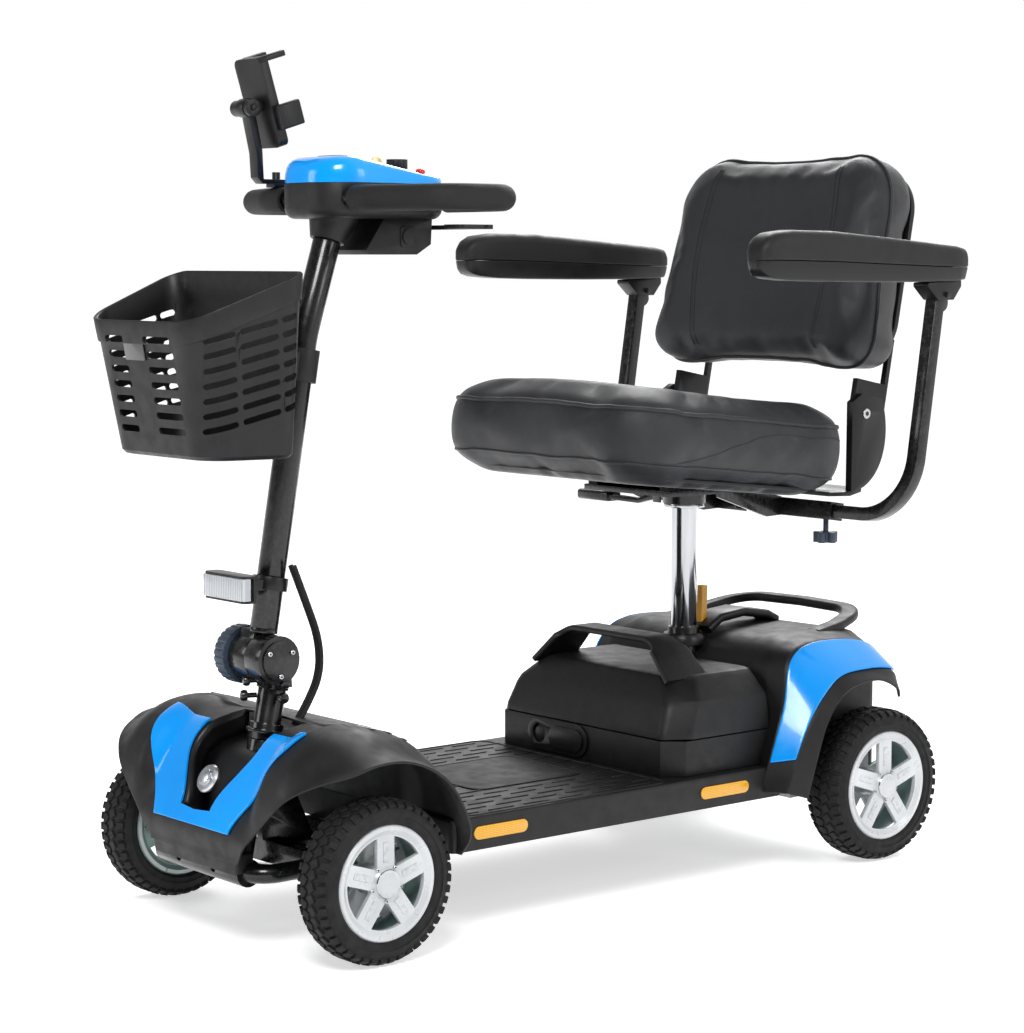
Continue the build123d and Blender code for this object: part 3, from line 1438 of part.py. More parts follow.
# ---------------------------------------------------------------- armrests
ARM_TIP = math.radians(ARM_LEAN)
UP_WAY = Vector(0, math.sin(ARM_TIP), math.cos(ARM_TIP))
for side_name, side in SIDES:
    corner = Vector(side * ARM_X, ARM_BAR_Y, ARM_BAR_Z)
    with BuildPart() as arm_bar:
        with BuildLine() as arm_line:
            FilletPolyline(
                (side * 60, ARM_BAR_Y, ARM_BAR_Z),
                corner,
                corner + UP_WAY * ARM_RISE,
                radius=ARM_BEND_R,
            )
        with BuildSketch(Plane(origin=(side * 60, ARM_BAR_Y, ARM_BAR_Z), x_dir=(0, 1, 0), z_dir=(side, 0, 0))):
            Rectangle(ARM_TUBE, ARM_TUBE, rotation=-side * ARM_LEAN)
        sweep(path=arm_line.line)
        with BuildSketch(side_plane(side * (ARM_X - ARM_TUBE / 2))):
            with Locations((ARM_PIVOT_Y - 4, ARM_PIVOT_Z - 12)):
                Circle(13)
        extrude(amount=side * ARM_TUBE)
        with BuildSketch(side_plane(side * (ARM_X - 20))):
            with Locations((ARM_PIVOT_Y, ARM_PIVOT_Z)):
                Circle(4)
        extrude(amount=side * 40)
        with BuildSketch(side_plane(side * (ARM_X - 10))):
            with Locations((ARM_PIVOT_Y, ARM_PIVOT_Z)):
                Circle(12)
        extrude(amount=side * 20)
    save(arm_bar, f"arm_bar_{side_name}")

    with BuildPart() as arm_pad:
        with BuildSketch(side_plane(side * (ARM_X - PAD_W / 2))):
            with BuildLine():
                Polyline(
                    (PAD_FRONT_Y, 904),
                    (PAD_FRONT_Y + 6, 916),
                    (262, 942),
                    (330, 941),
                    (PAD_REAR_Y - 6, 903),
                    (PAD_REAR_Y, 893),
                    (PAD_REAR_Y, 888),
                    (PAD_FRONT_Y, 900),
                    close=True,
                )
            make_face()
        extrude(amount=side * PAD_W)
        with BuildSketch(side_plane(side * (ARM_X - PAD_W / 2 + 2))):
            Polygon(
                (PAD_FRONT_Y + 2, 899.6),
                (PAD_REAR_Y - 2, 887.6),
                (PAD_REAR_Y - 12, 868),
                (470, 872),
                (200, 878),
                (PAD_FRONT_Y + 18, 884),
                align=None,
            )
        extrude(amount=side * (PAD_W - 4))
        for ear in (ARM_X - 14.6, ARM_X + 10.3):
            with BuildSketch(side_plane(side * ear)):
                with Locations((ARM_PIVOT_Y, ARM_PIVOT_Z)):
                    Circle(12)
                    Circle(4 + RUN, mode=Mode.SUBTRACT)
                Polygon((470, 873), (ARM_PIVOT_Y - 8, 843), (ARM_PIVOT_Y, 856), (556, 870), align=None)
            extrude(amount=side * 4.3)
            with BuildSketch(side_plane(side * (ear - 1))):
                with Locations((ARM_PIVOT_Y, ARM_PIVOT_Z)):
                    Circle(4 + RUN)
            extrude(amount=side * 8, mode=Mode.SUBTRACT)
    save(arm_pad, f"arm_pad_{side_name}")
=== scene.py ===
"""Looks of a four-wheel travel mobility scooter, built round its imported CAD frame."""

import math

import bmesh
import bpy
from mathutils import Matrix, Vector


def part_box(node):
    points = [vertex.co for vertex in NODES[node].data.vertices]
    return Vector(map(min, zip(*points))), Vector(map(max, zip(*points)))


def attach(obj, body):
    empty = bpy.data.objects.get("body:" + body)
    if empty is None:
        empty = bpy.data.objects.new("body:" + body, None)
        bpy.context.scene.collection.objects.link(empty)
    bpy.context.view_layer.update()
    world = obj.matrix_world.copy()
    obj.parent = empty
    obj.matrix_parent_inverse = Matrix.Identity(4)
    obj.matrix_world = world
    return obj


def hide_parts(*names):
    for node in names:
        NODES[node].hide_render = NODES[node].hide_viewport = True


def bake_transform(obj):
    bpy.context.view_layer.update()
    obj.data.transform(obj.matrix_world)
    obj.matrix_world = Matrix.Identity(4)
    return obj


bl_info = {
    "name": "Travel Mobility Scooter",
    "version": (1, 0, 0),
    "blender": (4, 5, 0),
    "location": "View3D > Sidebar > Scooter",
    "description": "Builds the looks of a four-wheel travel mobility scooter on its CAD frame",
    "category": "Object",
}

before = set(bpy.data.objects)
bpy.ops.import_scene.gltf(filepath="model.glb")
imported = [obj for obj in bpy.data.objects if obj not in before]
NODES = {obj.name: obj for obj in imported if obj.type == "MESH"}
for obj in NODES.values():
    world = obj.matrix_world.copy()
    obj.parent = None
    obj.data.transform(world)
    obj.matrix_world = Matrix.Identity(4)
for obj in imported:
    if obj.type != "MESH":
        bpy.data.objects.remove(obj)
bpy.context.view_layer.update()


# ------------------------------------------------------------------ sizes and colours
class ScooterColours(bpy.types.PropertyGroup):
    """The colours of the scooter's main finishes."""

    body_blue: bpy.props.FloatVectorProperty(
        name="Body Blue", description="Gloss paint of the trim panels and console cover",
        subtype="COLOR", size=3, min=0, max=1, default=(0.0, 0.29, 0.84),
    )
    moulding: bpy.props.FloatVectorProperty(
        name="Moulding", description="Textured black plastic of the body and the deck",
        subtype="COLOR", size=3, min=0, max=1, default=(0.0050, 0.0050, 0.0056),
    )
    frame_black: bpy.props.FloatVectorProperty(
        name="Frame Black", description="Gloss powder coat on the tubes",
        subtype="COLOR", size=3, min=0, max=1, default=(0.003, 0.003, 0.0034),
    )
    upholstery: bpy.props.FloatVectorProperty(
        name="Upholstery", description="Grained covering of the seat and back",
        subtype="COLOR", size=3, min=0, max=1, default=(0.0070, 0.0078, 0.0105),
    )
    tyre: bpy.props.FloatVectorProperty(
        name="Tyre", description="Solid tyre rubber",
        subtype="COLOR", size=3, min=0, max=1, default=(0.0045, 0.0045, 0.005),
    )
    wheel_silver: bpy.props.FloatVectorProperty(
        name="Wheel Silver", description="Paint on the spoke faces",
        subtype="COLOR", size=3, min=0, max=1, default=(0.50, 0.515, 0.53),
    )
    knob_grey: bpy.props.FloatVectorProperty(
        name="Knob Grey", description="Blue-grey plastic of the tilt dial and knobs",
        subtype="COLOR", size=3, min=0, max=1, default=(0.028, 0.042, 0.062),
    )
    amber: bpy.props.FloatVectorProperty(
        name="Amber", description="Side reflectors and freewheel lever",
        subtype="COLOR", size=3, min=0, max=1, default=(0.90, 0.42, 0.01),
    )


class ScooterSizes(bpy.types.PropertyGroup):
    """The detail sizes that sit on top of the CAD sizes."""

    tread_blocks: bpy.props.IntProperty(
        name="Tread Blocks", description="Tread blocks round one tyre", default=44, min=12, max=90,
    )
    tread_height: bpy.props.FloatProperty(
        name="Tread Height", description="How far a tread block stands up",
        default=0.0032, min=0.001, max=0.006, unit="LENGTH",
    )
    stitch_pitch: bpy.props.FloatProperty(
        name="Stitch Pitch", description="Distance from one stitch to the next",
        default=0.0042, min=0.002, max=0.01, unit="LENGTH",
    )
    welt: bpy.props.FloatProperty(
        name="Welt", description="Radius of the piping round the cushions",
        default=0.0036, min=0.001, max=0.008, unit="LENGTH",
    )
    swell: bpy.props.FloatProperty(
        name="Swell", description="Furthest the cushion foam may swell in the simulation",
        default=0.012, min=0.002, max=0.03, unit="LENGTH",
    )
    lens_distance: bpy.props.FloatProperty(
        name="Focal Length", description="Camera focal length in millimetres",
        default=91.69, min=20, max=300,
    )


def colours():
    return bpy.context.scene.scooter_colours


def sizes():
    return bpy.context.scene.scooter_sizes


# ------------------------------------------------------------------ materials
def new_material(name):
    """A fresh material; returns it with its node tree and its principled shader."""
    mat = bpy.data.materials.new(name)
    mat.use_nodes = True
    tree = mat.node_tree
    tree.nodes.clear()
    out = tree.nodes.new("ShaderNodeOutputMaterial")
    shader = tree.nodes.new("ShaderNodeBsdfPrincipled")
    shader.inputs["Specular IOR Level"].default_value = 0.36
    tree.links.new(shader.outputs["BSDF"], out.inputs["Surface"])
    return mat, tree, shader


def node(tree, kind, **values):
    """Adds a shader node; keys are input names with spaces as underscores, or node settings."""
    made = tree.nodes.new(kind)
    for key, value in values.items():
        label = key.replace("_", " ")
        if label in made.inputs:
            made.inputs[label].default_value = value
        else:
            setattr(made, key, value)
    return made


def object_coords(tree, scale=(1, 1, 1)):
    """Object coordinates in metres, scaled per axis."""
    place = node(tree, "ShaderNodeTexCoord")
    mapping = node(tree, "ShaderNodeMapping")
    mapping.inputs["Scale"].default_value = scale
    tree.links.new(place.outputs["Object"], mapping.inputs["Vector"])
    return mapping.outputs["Vector"]


def noise(tree, coords, scale, detail=3.0, rough=0.5):
    made = node(tree, "ShaderNodeTexNoise", Scale=scale, Detail=detail, Roughness=rough)
    tree.links.new(coords, made.inputs["Vector"])
    return made.outputs["Fac"]


def ramp(tree, value, stops):
    """A colour ramp; stops are (position, colour) with greys given as one number."""
    made = tree.nodes.new("ShaderNodeValToRGB")
    tree.links.new(value, made.inputs["Fac"])
    points = made.color_ramp.elements
    while len(points) < len(stops):
        points.new(0.5)
    for point, (place, colour) in zip(points, stops):
        point.position = place
        rgb = (colour,) * 3 if isinstance(colour, (int, float)) else tuple(colour)
        point.color = (*rgb, 1)
    return made.outputs["Color"]


def bump(tree, height, shader, strength, distance, under=None):
    made = node(tree, "ShaderNodeBump", Strength=strength, Distance=distance)
    tree.links.new(height, made.inputs["Height"])
    if under is not None:
        tree.links.new(under, made.inputs["Normal"])
    tree.links.new(made.outputs["Normal"], shader.inputs["Normal"])
    return made.outputs["Normal"]


def tint(colour, factor):
    return tuple(min(1.0, part * factor) for part in colour)


def edge_wear(tree, amount):
    """A mask that is high on convex edges, broken up by noise."""
    geo = node(tree, "ShaderNodeNewGeometry")
    edge = ramp(tree, geo.outputs["Pointiness"], [(0.515, 0.0), (0.56, 1.0)])
    grit = ramp(tree, noise(tree, object_coords(tree), 160.0), [(0.45, 0.0), (0.7, 1.0)])
    made = node(tree, "ShaderNodeMath", operation="MULTIPLY")
    tree.links.new(edge, made.inputs[0])
    tree.links.new(grit, made.inputs[1])
    scaled = node(tree, "ShaderNodeMath", operation="MULTIPLY")
    tree.links.new(made.outputs[0], scaled.inputs[0])
    scaled.inputs[1].default_value = amount
    return scaled.outputs[0]


def mix_colour(tree, factor, low, high):
    made = tree.nodes.new("ShaderNodeMix")
    made.data_type = "RGBA"
    tree.links.new(factor, made.inputs["Factor"])
    for socket, value in ((6, low), (7, high)):
        if isinstance(value, bpy.types.NodeSocket):
            tree.links.new(value, made.inputs[socket])
        else:
            made.inputs[socket].default_value = (*value, 1)
    return made.outputs[2]


def moulded_plastic(name, colour, grain=900.0, rough=(0.42, 0.58), depth=0.00022, wear=0.25):
    """Spark-textured injection moulding: fine pebbles, soft sheen, slightly rubbed edges."""
    mat, tree, shader = new_material(name)
    coords = object_coords(tree)
    cells = node(tree, "ShaderNodeTexVoronoi", Scale=grain, Randomness=1.0)
    tree.links.new(coords, cells.inputs["Vector"])
    clouds = noise(tree, coords, 9.0, 4.0)
    shade = ramp(tree, clouds, [(0.3, tint(colour, 0.82)), (0.75, tint(colour, 1.22))])
    tree.links.new(
        mix_colour(tree, edge_wear(tree, wear), shade, tint(colour, 3.0)), shader.inputs["Base Color"]
    )
    tree.links.new(ramp(tree, noise(tree, coords, 45.0), [(0.3, rough[0]), (0.7, rough[1])]),
                   shader.inputs["Roughness"])
    bump(tree, cells.outputs["Distance"], shader, 0.35, depth)
    return mat


def gloss_moulding(name, colour, rough=(0.16, 0.26), coat=0.3):
    """Gloss painted moulding with faint orange peel and a clear coat."""
    mat, tree, shader = new_material(name)
    coords = object_coords(tree)
    tree.links.new(
        ramp(tree, noise(tree, coords, 5.0), [(0.3, tint(colour, 0.90)), (0.72, tint(colour, 1.12))]),
        shader.inputs["Base Color"],
    )
    tree.links.new(ramp(tree, noise(tree, coords, 60.0), [(0.35, rough[0]), (0.7, rough[1])]),
                   shader.inputs["Roughness"])
    shader.inputs["Coat Weight"].default_value = coat
    shader.inputs["Coat Roughness"].default_value = 0.05
    bump(tree, noise(tree, coords, 420.0, 2.0), shader, 0.05, 0.0002)
    return mat


def powder_coat(name, colour, rough=(0.22, 0.34)):
    """Gloss powder coat on metal, with its fine orange peel and chipped-through edges."""
    mat, tree, shader = new_material(name)
    coords = object_coords(tree)
    base = ramp(tree, noise(tree, coords, 8.0), [(0.3, tint(colour, 0.85)), (0.7, tint(colour, 1.25))])
    tree.links.new(mix_colour(tree, edge_wear(tree, 0.3), base, (0.10, 0.10, 0.105)),
                   shader.inputs["Base Color"])
    tree.links.new(ramp(tree, noise(tree, coords, 70.0), [(0.35, rough[0]), (0.7, rough[1])]),
                   shader.inputs["Roughness"])
    shader.inputs["Metallic"].default_value = 0.15
    shader.inputs["Coat Weight"].default_value = 0.35
    shader.inputs["Coat Roughness"].default_value = 0.12
    bump(tree, noise(tree, coords, 650.0, 2.0), shader, 0.12, 0.00025)
    return mat


def bare_metal(name, colour, rough=(0.18, 0.3), streak=(1, 1, 1), brushed=0.0):
    """Bare or plated metal; streak stretches the brushing lines along one axis."""
    mat, tree, shader = new_material(name)
    coords = object_coords(tree, streak)
    shader.inputs["Metallic"].default_value = 1.0
    tree.links.new(ramp(tree, noise(tree, coords, 30.0), [(0.3, tint(colour, 0.86)), (0.7, colour)]),
                   shader.inputs["Base Color"])
    tree.links.new(ramp(tree, noise(tree, coords, 90.0, 5.0), [(0.3, rough[0]), (0.7, rough[1])]),
                   shader.inputs["Roughness"])
    bump(tree, noise(tree, coords, 240.0, 6.0), shader, 0.02 + brushed, 0.0002)
    return mat


def tyre_rubber(name, colour):
    """Dull rubber with a mould sheen and road dust in its hollows."""
    mat, tree, shader = new_material(name)
    coords = object_coords(tree)
    geo = node(tree, "ShaderNodeNewGeometry")
    hollow = ramp(tree, geo.outputs["Pointiness"], [(0.44, 1.0), (0.50, 0.0)])
    base = ramp(tree, noise(tree, coords, 22.0, 5.0), [(0.3, tint(colour, 0.8)), (0.75, tint(colour, 1.35))])
    tree.links.new(mix_colour(tree, hollow, base, tint(colour, 1.7)), shader.inputs["Base Color"])
    tree.links.new(ramp(tree, noise(tree, coords, 80.0), [(0.3, 0.62), (0.7, 0.82)]),
                   shader.inputs["Roughness"])
    bump(tree, noise(tree, coords, 900.0, 3.0), shader, 0.2, 0.0003)
    return mat


def grained_leather(name, colour):
    """Leathercloth: pebbled grain, with painted shade darkening the crevices between the pebbles, fine
    creases and a soft sheen.
    """
    mat, tree, shader = new_material(name)
    coords = object_coords(tree)
    warp = node(tree, "ShaderNodeTexNoise", Scale=60.0, Detail=2.0)
    tree.links.new(coords, warp.inputs["Vector"])
    push = node(tree, "ShaderNodeVectorMath", operation="SCALE")
    tree.links.new(warp.outputs["Color"], push.inputs[0])
    push.inputs["Scale"].default_value = 0.006
    moved = node(tree, "ShaderNodeVectorMath", operation="ADD")
    tree.links.new(coords, moved.inputs[0])
    tree.links.new(push.outputs[0], moved.inputs[1])
    pebbles = node(tree, "ShaderNodeTexVoronoi", Scale=620.0, feature="DISTANCE_TO_EDGE")
    tree.links.new(moved.outputs[0], pebbles.inputs["Vector"])
    grain = ramp(tree, pebbles.outputs["Distance"], [(0.0, 0.0), (0.12, 0.8), (0.5, 1.0)])
    creases = noise(tree, coords, 26.0, 8.0, 0.65)
    clouds = ramp(tree, noise(tree, coords, 7.0, 4.0),
                  [(0.3, tint(colour, 0.82)), (0.72, tint(colour, 1.28))])
    # Painted shade: the crevices between the pebbles are darkened to 0.7 of the colour.
    shade = mix_colour(tree, grain, tint(colour, 0.7), clouds)
    tree.links.new(mix_colour(tree, edge_wear(tree, 0.22), shade, tint(colour, 2.2)),
                   shader.inputs["Base Color"])
    tree.links.new(ramp(tree, creases, [(0.3, 0.38), (0.7, 0.54)]), shader.inputs["Roughness"])
    shader.inputs["Sheen Weight"].default_value = 0.08
    shader.inputs["Sheen Roughness"].default_value = 0.4
    shader.inputs["Specular IOR Level"].default_value = 0.5
    low = bump(tree, creases, shader, 0.18, 0.0012)
    bump(tree, grain, shader, 0.4, 0.0004, under=low)
    return mat


def foam_grip(name, colour):
    """Closed-cell foam sleeve: matt, with open pores."""
    mat, tree, shader = new_material(name)
    coords = object_coords(tree)
    pores = node(tree, "ShaderNodeTexVoronoi", Scale=1100.0)
    tree.links.new(coords, pores.inputs["Vector"])
    tree.links.new(ramp(tree, noise(tree, coords, 14.0, 4.0),
                        [(0.3, tint(colour, 0.8)), (0.7, tint(colour, 1.3))]), shader.inputs["Base Color"])
    tree.links.new(ramp(tree, pores.outputs["Distance"], [(0.0, 0.9), (0.6, 0.66)]),
                   shader.inputs["Roughness"])
    bump(tree, pores.outputs["Distance"], shader, 0.5, 0.0004)
    return mat


def prism_reflector(name, colour):
    """Coloured reflector plastic with its moulded prism grid."""
    mat, tree, shader = new_material(name)
    coords = object_coords(tree)
    prisms = node(tree, "ShaderNodeTexVoronoi", Scale=420.0, Randomness=0.0)
    tree.links.new(coords, prisms.inputs["Vector"])
    tree.links.new(ramp(tree, prisms.outputs["Distance"],
                        [(0.0, tint(colour, 1.2)), (0.6, tint(colour, 0.6))]), shader.inputs["Base Color"])
    tree.links.new(ramp(tree, noise(tree, coords, 40.0), [(0.3, 0.10), (0.7, 0.22)]),
                   shader.inputs["Roughness"])
    shader.inputs["Coat Weight"].default_value = 0.7
    shader.inputs["Coat Roughness"].default_value = 0.03
    bump(tree, prisms.outputs["Distance"], shader, 0.5, 0.0008)
    return mat


def ribbed_lens(name):
    """Clear ribbed lamp cover."""
    mat, tree, shader = new_material(name)
    coords = object_coords(tree)
    ribs = node(tree, "ShaderNodeTexWave", Scale=75.0, Distortion=0.0)
    ribs.bands_direction = "X"
    tree.links.new(coords, ribs.inputs["Vector"])
    tree.links.new(ramp(tree, ribs.outputs["Fac"], [(0.2, (0.62, 0.66, 0.70)), (0.9, (0.93, 0.95, 0.97))]),
                   shader.inputs["Base Color"])
    tree.links.new(ramp(tree, noise(tree, coords, 80.0), [(0.3, 0.05), (0.7, 0.13)]),
                   shader.inputs["Roughness"])
    shader.inputs["Transmission Weight"].default_value = 0.55
    shader.inputs["IOR"].default_value = 1.49
    shader.inputs["Coat Weight"].default_value = 0.5
    bump(tree, ribs.outputs["Fac"], shader, 0.6, 0.0012)
    return mat


def make_materials():
    """Every finish on the scooter, by name."""
    c = colours()
    tones = {prop: tuple(getattr(c, prop)) for prop in (
        "body_blue", "moulding", "frame_black", "upholstery", "tyre", "wheel_silver", "knob_grey", "amber")}
    return {
        "moulding": moulded_plastic("textured_moulding", tones["moulding"]),
        "fine": moulded_plastic("fine_moulding", tint(tones["moulding"], 0.9), 1500.0, (0.3, 0.42), 0.0001),
        "insert": moulded_plastic("deck_insert", tint(tones["moulding"], 1.5), 1300.0, (0.5, 0.66), 0.00016),
        "blue": gloss_moulding("blue_gloss", tones["body_blue"]),
        "gloss_black": gloss_moulding("black_gloss", tint(tones["moulding"], 0.7), (0.08, 0.18), 0.5),
        "frame": powder_coat("frame_coat", tones["frame_black"]),
        "chrome": bare_metal("post_chrome", (0.50, 0.51, 0.53), (0.10, 0.18), (4, 4, 0.4)),
        "steel": bare_metal("zinc_steel", (0.60, 0.61, 0.63), (0.24, 0.4), (1, 1, 1), 0.05),
        "brass": bare_metal("key_brass", (0.78, 0.58, 0.24), (0.2, 0.34)),
        "alloy": bare_metal("cast_alloy", (0.42, 0.43, 0.45), (0.34, 0.5), (1, 1, 1), 0.15),
        "tyre": tyre_rubber("tyre_rubber", tones["tyre"]),
        "silver": powder_coat("wheel_silver", tones["wheel_silver"], (0.26, 0.4)),
        # The rim barrel: its own mint tint, darkened as painted shade for the inside of the wheel.
        "barrel": powder_coat("rim_barrel_mint_and_shade", (0.20, 0.30, 0.28), (0.3, 0.45)),
        "leather": grained_leather("grained_cover", tones["upholstery"]),
        "thread": foam_grip("seam_thread", (0.02, 0.021, 0.024)),
        "pad": moulded_plastic("pad_skin", tint(tones["moulding"], 1.25), 1000.0, (0.46, 0.6), 0.00026, 0.1),
        "foam": foam_grip("grip_foam", (0.007, 0.007, 0.0075)),
        "cable": foam_grip("cable_jacket", (0.006, 0.006, 0.0065)),
        "grey": moulded_plastic("knob_grey", tones["knob_grey"], 1200.0, (0.36, 0.5), 0.00012),
        "amber": prism_reflector("amber_reflector", tones["amber"]),
        "red": gloss_moulding("horn_red", (0.6, 0.012, 0.01)),
        "lens": ribbed_lens("lamp_lens"),
        "display": gloss_moulding("display_glass", (0.012, 0.018, 0.028), (0.03, 0.07), 1.0),
    }


MATS = {}


def dress(name, finish):
    """Gives a CAD node, or a piece, one finish."""
    thing = NODES[name] if isinstance(name, str) else name
    thing.data.materials.clear()
    thing.data.materials.append(MATS[finish])


# ------------------------------------------------------------------ mesh helpers
def link(mesh_object):
    bpy.context.scene.collection.objects.link(mesh_object)
    return mesh_object


def from_bmesh(bm, name, finish=None, smooth=40.0, recalc=True):
    """Turns a bmesh into an object at the origin, shaded smooth up to an angle."""
    if recalc:
        bmesh.ops.recalc_face_normals(bm, faces=bm.faces)
    mesh = bpy.data.meshes.new(name)
    bm.to_mesh(mesh)
    bm.free()
    made = link(bpy.data.objects.new(name, mesh))
    if finish:
        mesh.materials.append(MATS[finish])
    soften(made, smooth)
    return made


def soften(thing, angle=40.0):
    """Smooth shading, sharp where faces turn by more than angle."""
    mesh = thing.data
    for face in mesh.polygons:
        face.use_smooth = True
    bm = bmesh.new()
    bm.from_mesh(mesh)
    limit = math.radians(angle)
    for edge in bm.edges:
        edge.smooth = not (len(edge.link_faces) == 2 and edge.calc_face_angle(0) > limit)
    bm.to_mesh(mesh)
    bm.free()


def bake(thing):
    """Applies a piece's modifiers, so that it is a plain mesh."""
    bpy.context.view_layer.update()
    graph = bpy.context.evaluated_depsgraph_get()
    mesh = bpy.data.meshes.new_from_object(thing.evaluated_get(graph))
    thing.modifiers.clear()
    old = thing.data
    thing.data = mesh
    if old.users == 0 and isinstance(old, bpy.types.Mesh):
        bpy.data.meshes.remove(old)
    return thing


def bevel(thing, width, segments=2, angle=35.0):
    """Rounds a piece's sharp edges and applies it."""
    mod = thing.modifiers.new("edge round", "BEVEL")
    mod.width = width
    mod.segments = segments
    mod.limit_method = "ANGLE"
    mod.angle_limit = math.radians(angle)
    mod.harden_normals = False
    return bake(thing)


def join(things, name):
    """Joins several meshes into one, keeping their finishes."""
    bm = bmesh.new()
    finishes = []
    for thing in things:
        start = len(bm.faces)
        bm.from_mesh(thing.data)
        bm.faces.ensure_lookup_table()
        slots = []
        for mat in thing.data.materials:
            if mat not in finishes:
                finishes.append(mat)
            slots.append(finishes.index(mat))
        for face in bm.faces[start:]:
            face.material_index = slots[face.material_index] if slots else 0
        bpy.data.objects.remove(thing)
    mesh = bpy.data.meshes.new(name)
    bm.to_mesh(mesh)
    bm.free()
    for mat in finishes:
        mesh.materials.append(mat)
    return link(bpy.data.objects.new(name, mesh))


def copy_node(name):
    """A copy of a CAD node's mesh with its doubled points merged."""
    bm = bmesh.new()
    bm.from_mesh(NODES[name].data)
    bmesh.ops.remove_doubles(bm, verts=bm.verts, dist=0.00002)
    bmesh.ops.dissolve_limit(bm, angle_limit=0.005, verts=bm.verts, edges=bm.edges)
    return bm


def rounded_copy(name, finish, width=0.0015, segments=2, smooth=30.0):
    """A CAD node's exact shape with its sharp edges rounded."""
    bm = copy_node(name)
    made = from_bmesh(bm, name + "_finished", finish, smooth, recalc=False)
    mod = made.modifiers.new("edge round", "BEVEL")
    mod.width = width
    mod.segments = segments
    mod.limit_method = "ANGLE"
    mod.angle_limit = math.radians(32)
    mod.use_clamp_overlap = True
    bake(made)
    soften(made, smooth)
    return made


def stand_for(thing, body, slot_name, *nodes):
    """Rides a piece on its body and hides the CAD nodes that it stands for."""
    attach(thing, body)
    if nodes:
        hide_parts(*nodes)
    return thing


def loft(rings, name, finish, closed=True, caps=True, smooth=40.0):
    """A skin through rings of points, every ring with the same count."""
    bm = bmesh.new()
    rows = [[bm.verts.new(p) for p in ring] for ring in rings]
    count = len(rows[0])
    last = count if closed else count - 1
    for low, high in zip(rows, rows[1:]):
        for i in range(last):
            j = (i + 1) % count
            bm.faces.new((low[i], low[j], high[j], high[i]))
    if caps and closed:
        bm.faces.new(reversed(rows[0]))
        bm.faces.new(rows[-1])
    return from_bmesh(bm, name, finish, smooth)


def circle_points(centre, across, up, radius, count, start=0.0):
    """Points round a circle spanned by two unit vectors."""
    centre, across, up = Vector(centre), Vector(across), Vector(up)
    points = []
    for i in range(count):
        turn = start + 2 * math.pi * i / count
        points.append(centre + across * (radius * math.cos(turn)) + up * (radius * math.sin(turn)))
    return points


def basis(way):
    """Two unit vectors square to a direction."""
    way = Vector(way).normalized()
    side = Vector((1, 0, 0)) if abs(way.x) < 0.9 else Vector((0, 1, 0))
    across = way.cross(side).normalized()
    return across, way.cross(across).normalized()


def rod(start, end, radius, name, finish, count=32, tip=0.0):
    """A round bar from start to end, its ends chamfered by tip."""
    start, end = Vector(start), Vector(end)
    way = (end - start).normalized()
    across, up = basis(way)
    stops = [(0.0, radius - tip), (tip, radius), ((end - start).length - tip, radius),
             ((end - start).length, radius - tip)]
    if tip == 0:
        stops = [stops[0], stops[-1]]
    rings = [circle_points(start + way * along, across, up, r, count) for along, r in stops]
    return loft(rings, name, finish)


def lathe(profile, origin, way, name, finish, count=64, smooth=35.0):
    """Turns (along, radius) pairs about an axis; open ends are capped."""
    across, up = basis(way)
    way = Vector(way).normalized()
    rings = [circle_points(Vector(origin) + way * along, across, up, max(radius, 1e-5), count)
             for along, radius in profile]
    made = loft(rings, name, finish, caps=True, smooth=smooth)
    return made


def sweep_tube(points, radius, name, finish, count=20, caps=True):
    """A tube along a line of points, its section kept from twisting."""
    points = [Vector(p) for p in points]
    ways = []
    for i in range(len(points)):
        before = points[max(i - 1, 0)]
        after = points[min(i + 1, len(points) - 1)]
        ways.append((after - before).normalized())
    across, up = basis(ways[0])
    rings = []
    for i, point in enumerate(points):
        if i:
            turn = ways[i - 1].rotation_difference(ways[i])
            across, up = turn @ across, turn @ up
        rings.append(circle_points(point, across, up, radius, count))
    return loft(rings, name, finish, caps=caps)


def round_path(corners, radii, steps=8):
    """A path through corners, each rounded by an arc of its radius."""
    corners = [Vector(p) for p in corners]
    path = [corners[0]]
    for before, here, after, radius in zip(corners, corners[1:], corners[2:], radii):
        first, second = (before - here).normalized(), (after - here).normalized()
        half = first.angle(second) / 2
        reach = radius / math.tan(half)
        bisector = (first + second).normalized()
        centre = here + bisector * (radius / math.sin(half))
        start, end = here + first * reach, here + second * reach
        a, b = start - centre, end - centre
        whole = a.angle(b)
        axis = a.cross(b).normalized()
        for i in range(steps + 1):
            path.append(centre + Matrix.Rotation(whole * i / steps, 3, axis) @ a)
    path.append(corners[-1])
    return path


def slab(outline, low, high, place, name, finish, edge=0.0015, segments=2):
    """A prism over a flat outline; place maps (u, v, w) to a point."""
    bm = bmesh.new()
    bottom = [bm.verts.new(place(u, v, low)) for u, v in outline]
    top = [bm.verts.new(place(u, v, high)) for u, v in outline]
    bm.faces.new(reversed(bottom))
    bm.faces.new(top)
    for i in range(len(outline)):
        j = (i + 1) % len(outline)
        bm.faces.new((bottom[i], bottom[j], top[j], top[i]))
    made = from_bmesh(bm, name, finish)
    if edge:
        bevel(made, edge, segments)
        soften(made, 40)
    return made


